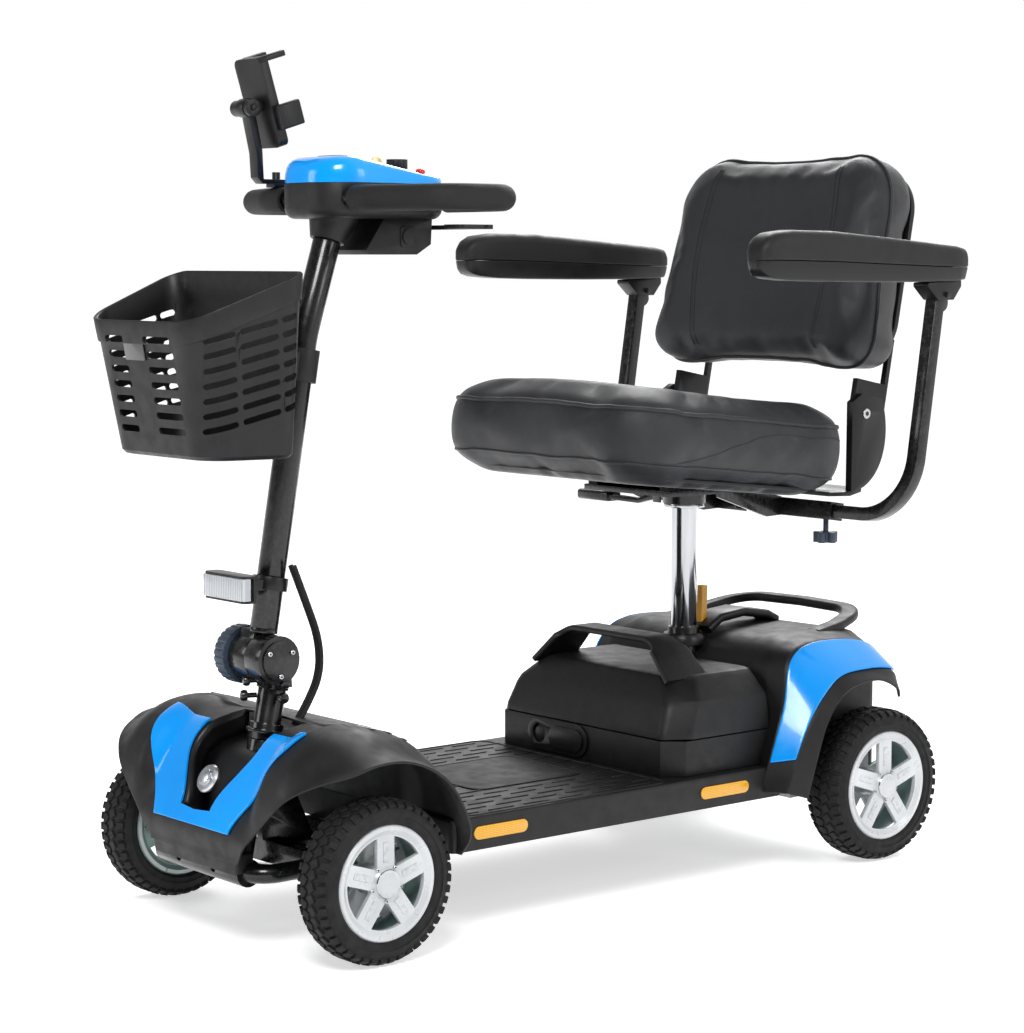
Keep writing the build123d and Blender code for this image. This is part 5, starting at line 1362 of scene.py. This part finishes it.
SEAT_TILT, BACK_LEAN = math.radians(6.0), math.radians(11.0)
SEAT_MIDDLE_Y, SEAT_BASE_Z = 0.260, 0.580
HINGE_Y, HINGE_Z = 0.508, 0.672


def seat_place(u, v, w):
    """The seat cushion's own axes: u across, v to the rear, w up from its base."""
    return (u, SEAT_MIDDLE_Y + v * math.cos(SEAT_TILT) + w * math.sin(SEAT_TILT),
            SEAT_BASE_Z - v * math.sin(SEAT_TILT) + w * math.cos(SEAT_TILT))


def back_place(u, v, w):
    """The backrest's own axes: u across, v up, w to the front, from the hinge line."""
    return (u, HINGE_Y + v * math.sin(BACK_LEAN) - w * math.cos(BACK_LEAN),
            HINGE_Z + v * math.cos(BACK_LEAN) + w * math.sin(BACK_LEAN))


class SCOOTER_OT_cushions(bpy.types.Operator):
    """Seat and back cushions with piping, seams and stitches"""

    bl_idname = "scooter.cushions"
    bl_label = "Cushions"

    def execute(self, context):
        self.seat()
        self.back()
        return {"FINISHED"}

    def seat(self):
        across, ahead, behind = 0.238, -0.242, 0.216
        outline = rounded_outline([(-across, ahead), (across, ahead), (across - 0.004, behind),
                                   (0.004 - across, behind)], [0.078, 0.078, 0.070, 0.070], 14)
        levels = ((-0.002, 0.060), (0.002, 0.030), (0.010, 0.011), (0.028, 0.001), (0.055, -0.002),
                  (0.080, 0.0), (0.096, 0.006), (0.106, 0.014), (0.112, 0.030), (0.114, 0.060))
        cushion = cushion_loft(outline, levels, seat_place, "seat_cushion_cover")
        puff(cushion, 0.0055, 4.0, sizes().swell)
        seat_up = (Vector(seat_place(0, 0, 1)) - Vector(seat_place(0, 0, 0))).normalized()
        base = Vector(seat_place(0, 0, 0))
        for vertex in cushion.data.vertices:
            off = vertex.co - base
            height = off.dot(seat_up)
            top = ease(height, 0.05, 0.10)
            ahead_share = 1 - ease(vertex.co.y, 0.045, 0.24)
            saddle = max(0.0, 1 - (vertex.co.x / 0.15) ** 2) * ahead_share
            behind_share = max(0.0, 1 - ((vertex.co.y - 0.30) / 0.15) ** 2)
            hollow = max(0.0, 1 - (vertex.co.x / 0.20) ** 2) * behind_share
            vertex.co.z -= top * (0.010 * hollow) - top * 0.006 * saddle
        extras = []
        for height, reach in ((0.100, 1.0), (0.004, 1.0)):
            ring = [seat_place(u * reach, v * reach, height) for u, v in outline]
            spots = resample(ring, 0.006, closed=True)
            found = onto(cushion, spots, 0.0002)
            thick = sizes().welt if height > 0.05 else sizes().welt * 0.6
            extras.append(loop_tube([p for p, _ in found], thick, "seat_welt", "leather"))
        side_line = []
        for i in range(41):
            v = 0.205 - 0.40 * i / 40
            side_line.append(seat_place(0.235, v, 0.078 - 0.066 * ease(i / 40, 0.35, 0.95)))
        found = onto(cushion, side_line, -0.0004)
        extras.append(sweep_tube([p for p, _ in found], 0.0013, "seat_side_seam", "thread", 8))
        trim = join(extras, "seat_piping")
        stand_for(trim, "seat", "leatherette")
        stand_for(cushion, "seat", "leatherette", "seat_cushion")

    def back(self):
        half, low, high = 0.230, 0.064, 0.396
        outline = rounded_outline([(-half, low), (half, low), (half - 0.010, high), (0.010 - half, high)],
                                  [0.040, 0.040, 0.080, 0.080], 14)
        levels = ((-0.046, 0.020), (-0.041, 0.008), (-0.030, 0.001), (-0.010, -0.001), (0.010, 0.0),
                  (0.024, 0.005), (0.031, 0.013), (0.035, 0.028))
        cushion = cushion_loft(outline, levels, back_place, "backrest_cushion_cover")
        puff(cushion, 0.0055, 4.0, sizes().swell)
        forward = (Vector(back_place(0, 0, 1)) - Vector(back_place(0, 0, 0))).normalized()
        for vertex in cushion.data.vertices:
            rise = (vertex.co - Vector(back_place(0, 0, 0))).dot(Vector(back_place(0, 1, 0)) -
                                                                Vector(back_place(0, 0, 0)))
            depth = (vertex.co - Vector(back_place(0, 0, 0))).dot(forward)
            wrap = min(1.0, abs(vertex.co.x) / 0.22) ** 2.4 * ease(depth, -0.050, 0.0)
            vertex.co += forward * (wrap * (0.034 - 0.020 * ease(rise, 0.2, 0.39)))
        extras = []
        ring = [back_place(u * 1.01, low + (v - low) * 1.0, 0.017) for u, v in outline]
        found = onto(cushion, resample(ring, 0.006, closed=True), 0.0006)
        extras.append(loop_tube([p for p, _ in found], sizes().welt * 0.85, "back_welt", "leather"))
        for side in (-1, 1):
            for gap in (-0.004, 0.004):
                line = []
                for i in range(33):
                    v = 0.084 + 0.292 * i / 32
                    bow = 0.128 + 0.016 * math.sin(math.pi * i / 32)
                    line.append(back_place(side * (bow + gap), v, 0.050))
                extras.append(stitches(cushion, line, "back_stitch", 0.0002))
            seam = [back_place(side * (0.128 + 0.016 * math.sin(math.pi * i / 32)), 0.084 + 0.292 * i / 32,
                               0.050) for i in range(33)]
            found = onto(cushion, seam, -0.0006)
            extras.append(sweep_tube([p for p, _ in found], 0.0011, "back_seam", "thread", 8))
        trim = join(extras, "back_piping")
        stand_for(trim, "back", "leatherette")
        stand_for(cushion, "back", "leatherette", "backrest_cushion")


# ------------------------------------------------------------------ rear body and battery lid
# Each row runs from the middle of the top to the wheel-arch lip, as (x, y, z) points for the left side.
REAR_ROWS = (
    ((0.000, 0.338, 0.120), (0.186, 0.300, 0.120), (0.216, 0.292, 0.126),
     (0.256, 0.306, 0.128), (0.268, 0.338, 0.118)),
    ((0.000, 0.338, 0.170), (0.190, 0.312, 0.170), (0.222, 0.304, 0.178),
     (0.258, 0.330, 0.184), (0.270, 0.354, 0.172)),
    ((0.000, 0.338, 0.240), (0.186, 0.330, 0.240), (0.216, 0.334, 0.250),
     (0.258, 0.354, 0.226), (0.270, 0.373, 0.221)),
    ((0.000, 0.342, 0.306), (0.172, 0.344, 0.304), (0.202, 0.358, 0.312),
     (0.258, 0.383, 0.258), (0.270, 0.396, 0.253)),
    ((0.000, 0.372, 0.332), (0.150, 0.384, 0.336), (0.196, 0.400, 0.333),
     (0.257, 0.422, 0.285), (0.270, 0.429, 0.274)),
    ((0.000, 0.440, 0.340), (0.150, 0.452, 0.342), (0.194, 0.470, 0.334),
     (0.256, 0.482, 0.290), (0.269, 0.486, 0.280)),
    ((0.000, 0.512, 0.340), (0.150, 0.516, 0.342), (0.196, 0.520, 0.326),
     (0.252, 0.528, 0.286), (0.265, 0.530, 0.262)),
    ((0.000, 0.562, 0.332), (0.140, 0.560, 0.332), (0.190, 0.556, 0.310),
     (0.240, 0.552, 0.276), (0.252, 0.550, 0.244)),
)


def rear_point(along, across, off=0.0):
    """A point on the rear skin: along the arch, 0 to 7, and across it from the middle, 0, to the lip, 4."""
    first = min(int(along), 6)
    t = along - first
    rows = [REAR_ROWS[max(0, min(7, first + k))] for k in (-1, 0, 1, 2)]
    column = min(int(across), 3)
    share = across - column
    spots = []
    for c in (column, column + 1):
        a, b, d, e = (Vector(row[c]) for row in rows)
        spots.append(b + (d - a) * (t / 2) + (a * 2 - b * 5 + d * 4 - e) * (t * t / 2)
                     + (b * 3 - d * 3 + e - a) * (t ** 3 / 2))
    spot = spots[0].lerp(spots[1], share)
    if off:
        ahead = rear_point(min(along + 0.05, 7), across) - rear_point(max(along - 0.05, 0), across)
        aside = rear_point(along, min(across + 0.05, 4)) - rear_point(along, max(across - 0.05, 0))
        out = aside.cross(ahead).normalized()
        if out.x + out.z < 0:
            out = -out
        spot += out * off
    return spot


def mirrored(thing, name):
    """A piece joined with its mirror image across the middle plane."""
    bm = bmesh.new()
    bm.from_mesh(thing.data)
    other = bm.copy()
    for vertex in other.verts:
        vertex.co.x = -vertex.co.x
    bmesh.ops.reverse_faces(other, faces=other.faces)
    spare = bpy.data.meshes.new("mirror")
    other.to_mesh(spare)
    other.free()
    bm.from_mesh(spare)
    bpy.data.meshes.remove(spare)
    bmesh.ops.remove_doubles(bm, verts=[v for v in bm.verts if abs(v.co.x) < 1e-5], dist=0.00002)
    made = from_bmesh(bm, name, None, 40, recalc=False)
    for mat in thing.data.materials:
        made.data.materials.append(mat)
    bpy.data.objects.remove(thing)
    return made


def strap(path, half_width, thickness, name, finish, across=(0, 1, 0)):
    """A flat strap along a path; half_width gives its half-width at each point."""
    across = Vector(across)
    rings = []
    for i, point in enumerate(path):
        point = Vector(point)
        way = (Vector(path[min(i + 1, len(path) - 1)]) - Vector(path[max(i - 1, 0)])).normalized()
        up = way.cross(across).normalized()
        half = half_width(i / (len(path) - 1))
        shape = box_outline(-half, half, -thickness / 2, thickness / 2, thickness * 0.4, 4)
        rings.append([point + across * u + up * v for u, v in shape])
    return loft(rings, name, finish)


class SCOOTER_OT_rear_body(bpy.types.Operator):
    """Rear body with its wheel arches, blue side panels and carrying handle, and the battery lid"""

    bl_idname = "scooter.rear_body"
    bl_label = "Rear Body"

    def execute(self, context):
        self.shell()
        self.panels()
        self.lid()
        return {"FINISHED"}

    def surface(self, first, last, rows, low, high, columns, off):
        bm = bmesh.new()
        grid = []
        for i in range(rows + 1):
            along = first + (last - first) * i / rows
            grid.append([bm.verts.new(rear_point(along, low + (high - low) * k / columns, off))
                         for k in range(columns + 1)])
        for a, b in zip(grid, grid[1:]):
            for k in range(columns):
                bm.faces.new((a[k], a[k + 1], b[k + 1], b[k]))
        face_towards(bm, (1, 0, 0))
        return bm

    def shell(self):
        bm = self.surface(0, 7, 56, 0, 4, 32, 0)
        half = from_bmesh(bm, "rear_half", "moulding", 45, recalc=False)
        skin = mirrored(half, "rear_skin")
        solid_wall(skin, 0.0040, -1)
        bevel(skin, 0.0012, 2, 50)
        core_shape = box_outline(-0.186, 0.186, 0.345, 0.572, 0.020)
        core = slab(core_shape, 0.118, 0.300, on_top, "rear_core", "moulding", 0.006, 3)
        rail = [(0.146, 0.470, 0.336), (0.144, 0.520, 0.344), (0.132, 0.566, 0.354), (0.100, 0.592, 0.360),
                (0.0, 0.598, 0.361), (-0.100, 0.592, 0.360), (-0.132, 0.566, 0.354), (-0.144, 0.520, 0.344),
                (-0.146, 0.470, 0.336)]
        path = round_path(rail, [0.06] * 7, 5)
        rings = []
        for i, point in enumerate(path):
            way = (path[min(i + 1, len(path) - 1)] - path[max(i - 1, 0)]).normalized()
            side = way.cross(Vector((0, 0, 1))).normalized()
            shape = box_outline(-0.014, 0.014, -0.007, 0.007, 0.005, 3)
            rings.append([point + side * u + Vector((0, 0, v)) for u, v in shape])
        handle = loft(rings, "rear_handle", "moulding")
        tail_corners = [(-0.150, 0.550), (0.150, 0.550), (0.120, 0.604), (-0.120, 0.604)]
        tail_shape = rounded_outline(tail_corners, 0.020)
        tail = slab(tail_shape, 0.236, 0.262, on_top, "rear_tail", "moulding", 0.006, 3)
        latch_path = [(0.0, 0.366, 0.338), (0.002, 0.392, 0.354), (0.006, 0.440, 0.360),
                      (0.010, 0.490, 0.352), (0.012, 0.510, 0.342)]
        latch = strap(latch_path, lambda t: 0.030 - 0.010 * t, 0.014, "latch_lever", "fine", (1, 0, 0))
        collar_profile = [(0, 0.034), (0.010, 0.034), (0.016, 0.030), (0.017, 0.0205)]
        collar = lathe(collar_profile, (0, 0.337, 0.318), (0, 0, 1),
                       "post_collar", "fine", 48)
        whole = join([skin, core, handle, tail, latch, collar], "rear_body_whole")
        soften(whole, 38)
        stand_for(whole, "chassis", "black_plastic", "rear_body")

    def panels(self):
        bm = self.surface(0.85, 6.55, 44, 2.06, 2.93, 12, 0.0004)
        half = from_bmesh(bm, "panel_half", "blue", 45, recalc=False)
        panel = mirrored(half, "rear_panels")
        solid_wall(panel, PANEL_WALL, 1)
        bevel(panel, 0.0014, 3, 45)
        soften(panel, 45)
        stand_for(panel, "chassis", "blue_plastic", "rear_trim")

    def lid(self):
        rings = []
        for height, half, nose, ahead, round_off in (
            (0.2145, 0.1985, 0.1740, 0.1315, 0.016), (0.2160, 0.2005, 0.1760, 0.1295, 0.016),
            (0.2250, 0.2005, 0.1760, 0.1310, 0.018), (0.2580, 0.1960, 0.1700, 0.1450, 0.020),
            (0.2680, 0.1920, 0.1660, 0.1500, 0.022), (0.2800, 0.1780, 0.1540, 0.1590, 0.024),
            (0.2930, 0.1640, 0.1420, 0.1700, 0.026), (0.2985, 0.1560, 0.1340, 0.1770, 0.026),
            (0.3000, 0.1480, 0.1260, 0.1840, 0.026),
        ):
            line = rounded_outline(
                [(half, 0.3275), (half, ahead + 0.040), (nose, ahead), (-nose, ahead), (-half, ahead + 0.040),
                 (-half, 0.3275)], [0.008, round_off, round_off, round_off, round_off, 0.008], 6)
            rings.append([(u, v, height) for u, v in line])
        lid = loft(rings, "battery_lid_skin", "moulding", smooth=25)
        bevel(lid, 0.0025, 3, 22)
        path = round_path([(-0.150, 0.204, 0.292), (-0.094, 0.206, 0.346), (0.094, 0.206, 0.346),
                           (0.150, 0.204, 0.292)], [0.050, 0.050], 10)
        handle = strap(path, lambda t: 0.024 + 0.018 * abs(2 * t - 1) ** 5, 0.0095, "lid_handle", "moulding")
        whole = join([lid, handle], "battery_lid_whole")
        soften(whole, 30)
        stand_for(whole, "battery_box", "black_plastic", "battery_lid")


# ------------------------------------------------------------------ armrests
PAD_STATIONS = (
    (0.1605, 0.892, 0.912, 0.0100), (0.1640, 0.885, 0.922, 0.0170), (0.1720, 0.879, 0.931, 0.0215),
    (0.1860, 0.875, 0.938, 0.0242), (0.2200, 0.872, 0.942, 0.0250), (0.3000, 0.870, 0.941, 0.0250),
    (0.4000, 0.869, 0.934, 0.0250), (0.5000, 0.869, 0.926, 0.0250), (0.5600, 0.870, 0.921, 0.0245),
    (0.5760, 0.872, 0.918, 0.0225), (0.5835, 0.877, 0.911, 0.0170),
)


class SCOOTER_OT_armrests(bpy.types.Operator):
    """Armrest pads: soft top, hard base and the hinge bracket"""

    bl_idname = "scooter.armrests"
    bl_label = "Armrests"

    def execute(self, context):
        for side_name, side in (("left", 1), ("right", -1)):
            middle = 0.325 * side
            tops, bases = [], []
            for along, low, high, half in PAD_STATIONS:
                split = low + (high - low) * 0.40
                foot, waist, under = half - 0.0045, half - 0.0004, split - 0.0004
                top = box_outline(-half, half, split, high, [0.003, 0.003, half * 0.56, half * 0.56], 7)
                base = rounded_outline([(-foot, low), (foot, low), (waist, under), (-waist, under)],
                                       [0.004, 0.004, 0.001, 0.001], 4)
                tops.append([(middle + u, along, v) for u, v in top])
                bases.append([(middle + u, along, v) for u, v in base])
            pad = loft(tops, "pad_top", "pad", smooth=50)
            base = loft(bases, "pad_base", "fine", smooth=40)
            bracket_shape = rounded_outline([(0.500, 0.868), (0.500, 0.862), (0.522, 0.8425), (0.556, 0.8425),
                                             (0.572, 0.862), (0.572, 0.872)], 0.002, 2)
            left, right = middle - 0.0150, middle + 0.0150
            bracket = slab(bracket_shape, left, right, on_side, "pad_bracket", "fine", 0.0015)
            whole = join([pad, base, bracket], "arm_pad_" + side_name + "_whole")
            soften(whole, 40)
            stand_for(whole, side_name + "_pad", "black_plastic", "arm_pad_" + side_name)
        return {"FINISHED"}


# ------------------------------------------------------------------ basket
def basket_outline(height):
    """The basket's plan outline at a height."""
    share = (height - 0.646) / 0.259
    back, ahead, nose = 0.136 + 0.024 * share, 0.116 + 0.018 * share, -0.594 - 0.046 * share
    return rounded_outline([(back, -0.462), (ahead, nose), (-ahead, nose), (-back, -0.462)],
                           [0.026, 0.050, 0.050, 0.026], 10)


def basket_ring(drop, height, push):
    """One ring of the basket's wall: below its sloping rim by drop, or at a height; pushed outwards."""
    count = len(basket_outline(0.7))
    ring = []
    for i in range(count):
        level = 0.8 if height is None else height
        if height is None:
            for _ in range(4):
                level = 0.891 + 0.384 * (basket_outline(level)[i][1] + 0.450) - drop
        line = basket_outline(level)
        here, ahead, behind = Vector(line[i]), Vector(line[(i + 1) % count]), Vector(line[i - 1])
        along = (ahead - behind).normalized()
        out = Vector((along.y, -along.x))
        if out.dot(here - Vector((0, -0.54))) < 0:
            out = -out
        spot = here + out * push
        ring.append((spot.x, spot.y, level))
    return ring


class SCOOTER_OT_basket(bpy.types.Operator):
    """Shopping basket with its rim band, slots and blank badge plate"""

    bl_idname = "scooter.basket"
    bl_label = "Basket"

    def execute(self, context):
        # Up the outside by height, over the rim by the drop below it, and down the inside.
        outside = ((0.6462, -0.010), (0.6475, -0.004), (0.652, 0.0), (0.700, 0.0), (0.740, 0.0))
        rim = ((0.033, 0.0), (0.032, 0.0028), (0.016, 0.0030), (0.0015, 0.0028), (0.0, 0.0012),
               (0.0, -0.0022), (0.002, -0.0034), (0.033, -0.0034))
        inside = ((0.740, -0.0030), (0.700, -0.0030), (0.656, -0.0030), (0.6505, -0.0070), (0.6495, -0.014))
        rings = [basket_ring(0, height, push) for height, push in outside]
        rings += [basket_ring(drop, None, push) for drop, push in rim]
        rings += [basket_ring(0, height, push) for height, push in inside]
        wall = loft(rings, "basket_wall", "moulding", smooth=35)
        cutters = []
        for k in range(7):
            level = 0.682 + 0.0195 * k
            for left, right in ((-0.078, -0.034), (0.014, 0.078)):
                shape = box_outline(left, right, level - 0.0045, level + 0.0045, 0.0044, 4)
                cutters.append(slab(shape, 0.540, 0.660, on_front, "slot", None, 0))
            for side in (-1, 1):
                for middle, length in ((-0.582, 0.040), (-0.530, 0.052), (-0.487, 0.024)):
                    middle += 0.010 * (6 - k) / 6
                    rise = 0.26 * (middle + 0.582) + level + 0.004
                    half = length / 2
                    tip = half * 0.26
                    ahead, behind, thick = middle - half, middle + half, 0.0042
                    corners = [(ahead, rise - thick - tip), (behind, rise - thick + tip),
                               (behind, rise + thick + tip), (ahead, rise + thick - tip)]
                    shape = rounded_outline(corners, 0.0041, 4)
                    span = (0.088, 0.200) if side > 0 else (-0.200, -0.088)
                    cutters.append(slab(shape, *span, on_side, "slot", None, 0))
        cutter = join(cutters, "basket_slots")
        cut = wall.modifiers.new("slots", "BOOLEAN")
        cut.object = cutter
        cut.operation = "DIFFERENCE"
        cut.solver = "EXACT"
        cut.use_self = True
        bake(wall)
        bpy.data.objects.remove(cutter)
        bevel(wall, 0.0007, 1, 50)
        soften(wall, 35)
        plate_shape = box_outline(-0.036, 0.012, 0.772, 0.812, 0.003)
        plate = slab(plate_shape, 0.0, 0.0022, on_front, "badge_plate", "gloss_black", 0.0006)
        for vertex in plate.data.vertices:
            vertex.co.y -= 0.594 + 0.046 * (vertex.co.z - 0.646) / 0.259
        whole = join([wall, plate], "basket_whole")
        soften(whole, 35)
        stand_for(whole, "basket_body", "black_plastic", "basket")
        return {"FINISHED"}


# ------------------------------------------------------------------ small details
KEY_X, KEY_Y = -0.050, -0.204


class SCOOTER_OT_details(bpy.types.Operator):
    """Deck pattern, console parts, bolts and other small pieces"""

    bl_idname = "scooter.details"
    bl_label = "Details"

    def execute(self, context):
        self.deck()
        self.console()
        self.bolts()
        return {"FINISHED"}

    def deck(self):
        places = []
        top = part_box("deck_tray")[1].z
        for row in range(19):
            across = -0.198 + 0.022 * row
            for k in range(9):
                along = -0.245 + 0.062 * k + (0.031 if row % 2 else 0.0)
                in_insert = abs(across) < 0.100 and -0.150 < along < 0.075
                if in_insert or along > 0.115 or along > 0.100 and abs(across) < 0.20:
                    continue
                places.append(((across, along, top + 0.0002), (0, 0, 1), (0, 1, 0)))
        dashes = repeats(places, (0.044, 0.0034, 0.0022), "deck_dashes", "moulding", "block", 0.0007)
        stand_for(dashes, "chassis", "black_plastic")
        frame_shape = box_outline(-0.088, 0.088, -0.136, 0.060, 0.018)
        insert = slab(frame_shape, top - 0.0005, top + 0.0012, on_top, "deck_insert", "insert", 0.0006)
        stand_for(insert, "chassis", "black_plastic")
        ring = [(u, v, top + 0.0006) for u, v in frame_shape]
        line = loop_tube(resample(ring, 0.006, closed=True), 0.0016, "deck_insert_edge", "moulding", 8)
        stand_for(line, "chassis", "black_plastic")
        border = box_outline(-0.212, 0.212, -0.258, 0.112, 0.020)
        line = loop_tube(resample([(u, v, top) for u, v in border], 0.008, closed=True), 0.0016, "deck_edge",
                         "moulding", 8)
        stand_for(line, "chassis", "black_plastic")

    def cover(self):
        """The console's blue cover: a low dome with its hump to the front."""
        rise = ((-0.372, 0.030), (-0.345, 0.035), (-0.315, 0.0355), (-0.285, 0.031), (-0.255, 0.0225),
                (-0.225, 0.0165), (-0.190, 0.0150), (-0.150, 0.0145))
        rings = []
        edge = ((0, 0.0), (0.0, 0.26), (0.0006, 0.44), (0.002, 0.62), (0.005, 0.78), (0.010, 0.90),
                (0.018, 0.97), (0.030, 0.995), (0.048, 1.0))
        for inset, share in edge:
            line = rounded_outline([(-0.065 + inset, -0.1525 - inset), (0.065 - inset, -0.1525 - inset),
                                    (0.0745 - inset, -0.3695 + inset), (inset - 0.0745, -0.3695 + inset)],
                                   [max(0.056 - inset, 0.004)] * 4, 10)
            rings.append([(u, v, 1.0034 + share * from_table(rise, v)) for u, v in line])
        dome = loft(rings, "cover_dome", "blue", smooth=50)
        profile = [(0, 0.0115), (0.008, 0.0112), (0.0095, 0.0098), (0.0096, 0.0080)]
        boss = lathe(profile, (KEY_X, KEY_Y, 1.0135), (0, 0, 1), "key_boss", "fine", 40)
        whole = join([dome, boss], "console_cover_whole")
        soften(whole, 45)
        stand_for(whole, "tiller", "blue_plastic", "console_cover")
        return whole

    def console(self):
        cover = self.cover()
        glass = slab([(0.030 * math.cos(t * math.pi / 20), -0.312 + 0.018 * math.sin(t * math.pi / 20))
                      for t in range(40)], 0.0, 0.0016, on_top, "display", "display", 0.0005)
        settled = onto(cover, [v.co + Vector((0, 0, 1.045)) for v in glass.data.vertices])
        for vertex, (place, _) in zip(glass.data.vertices, settled):
            vertex.co.z = place.z + 0.0012 * (1 if vertex.co.z > 0.0008 else -1)
        stand_for(glass, "tiller", "clear_lens")
        head = slab([(0.0085 * math.cos(t * math.pi / 12), 0.0085 * math.sin(t * math.pi / 12) * 0.8)
                     for t in range(24)], -0.001, 0.001, on_side, "key_head", "brass", 0.0005)
        for vertex in head.data.vertices:
            vertex.co += Vector((KEY_X, KEY_Y, 1.036))
        blade = rod((KEY_X, KEY_Y, 1.021), (KEY_X, KEY_Y, 1.031), 0.0022, "key_blade", "brass", 16)
        profile = [(0, 0.0075), (0.002, 0.0078), (0.0028, 0.0066), (0.0028, 0.0030)]
        ring = lathe(profile, (KEY_X, KEY_Y, 1.0225), (0, 0, 1), "key_ring", "chrome", 32)
        stand_for(join([head, blade, ring], "key_parts"), "tiller", "steel")
        dot = lathe([(0, 0.008), (0.002, 0.0078), (0.0036, 0.005), (0.0042, 0.0001)], (0.0, -0.158, 1.0035),
                    (0, 0, 1), "console_stud", "chrome", 32)
        stand_for(dot, "tiller", "steel")

    def bolts(self):
        dial_low, dial_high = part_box("tilt_dial")
        middle = (dial_low + dial_high) / 2
        barrel = [((0.0415, middle.y + 0.021 * math.cos(t * 2 * math.pi / 3 + 0.5),
                    middle.z + 0.021 * math.sin(t * 2 * math.pi / 3 + 0.5)), (1, 0, 0)) for t in range(3)]
        stand_for(screws(barrel, 0.0034, "barrel_screws"), "tiller", "steel")
        pads = []
        for side in (-1, 1):
            pads.append(((side * 0.3005 + side * 0.026, 0.536, 0.846), (side, 0, 0)))
        for side, body in ((1, "left_arm"), (-1, "right_arm")):
            stand_for(screws([pads[0 if side < 0 else 1]], 0.0065, "pad_bolt_" + body), body, "steel")
        hinge = [((side * 0.2135, HINGE_Y, HINGE_Z), (side, 0, 0)) for side in (-1, 1)]
        stand_for(screws(hinge, 0.0075, "hinge_bolts"), "seat", "steel")
        knobs = []
        head_profile = [(0, 0.0045), (0.0016, 0.0072), (0.006, 0.0078), (0.0096, 0.0064), (0.0104, 0.003)]
        for height in (0.318, 0.338):
            for turn in (0.15, 2.0):
                way = Vector((math.cos(turn), -math.sin(turn), 0))
                centre = Vector((0, -0.431 + (height - 0.269) * 0.203, height))
                inner, outer = centre + way * 0.020, centre + way * 0.034
                stem = rod(inner, outer, 0.0036, "knob_stem", "frame", 20, 0.0004)
                head = lathe(head_profile, centre + way * 0.032, way, "knob_head", "frame", 24)
                knobs += [stem, head]
        stand_for(join(knobs, "stem_knobs"), "stem", "black_paint")


# ------------------------------------------------------------------ panel and registration
GROUPS = (
    SCOOTER_OT_stage, SCOOTER_OT_cables, SCOOTER_OT_wheels, SCOOTER_OT_front_body, SCOOTER_OT_metalwork,
    SCOOTER_OT_rear_body, SCOOTER_OT_cushions, SCOOTER_OT_armrests, SCOOTER_OT_basket,
    SCOOTER_OT_details,
)


class SCOOTER_PT_panel(bpy.types.Panel):
    """The scooter's piece groups, in the order that they are made"""

    bl_label = "Travel Scooter"
    bl_idname = "SCOOTER_PT_panel"
    bl_space_type = "VIEW_3D"
    bl_region_type = "UI"
    bl_category = "Scooter"

    def draw(self, context):
        for group in GROUPS:
            self.layout.operator(group.bl_idname)
        for holder in (colours(), sizes()):
            for name in holder.__annotations__:
                self.layout.prop(holder, name)


CLASSES = (ScooterColours, ScooterSizes, *GROUPS, SCOOTER_PT_panel)


def register():
    for cls in CLASSES:
        bpy.utils.register_class(cls)
    bpy.types.Scene.scooter_colours = bpy.props.PointerProperty(type=ScooterColours, name="Colours")
    bpy.types.Scene.scooter_sizes = bpy.props.PointerProperty(type=ScooterSizes, name="Sizes")


def unregister():
    del bpy.types.Scene.scooter_sizes
    del bpy.types.Scene.scooter_colours
    for cls in reversed(CLASSES):
        bpy.utils.unregister_class(cls)


def main():
    register()
    MATS.update(make_materials())
    for group in GROUPS:
        family, action = group.bl_idname.split(".")
        getattr(getattr(bpy.ops, family), action)()


if __name__ == "__main__":
    main()
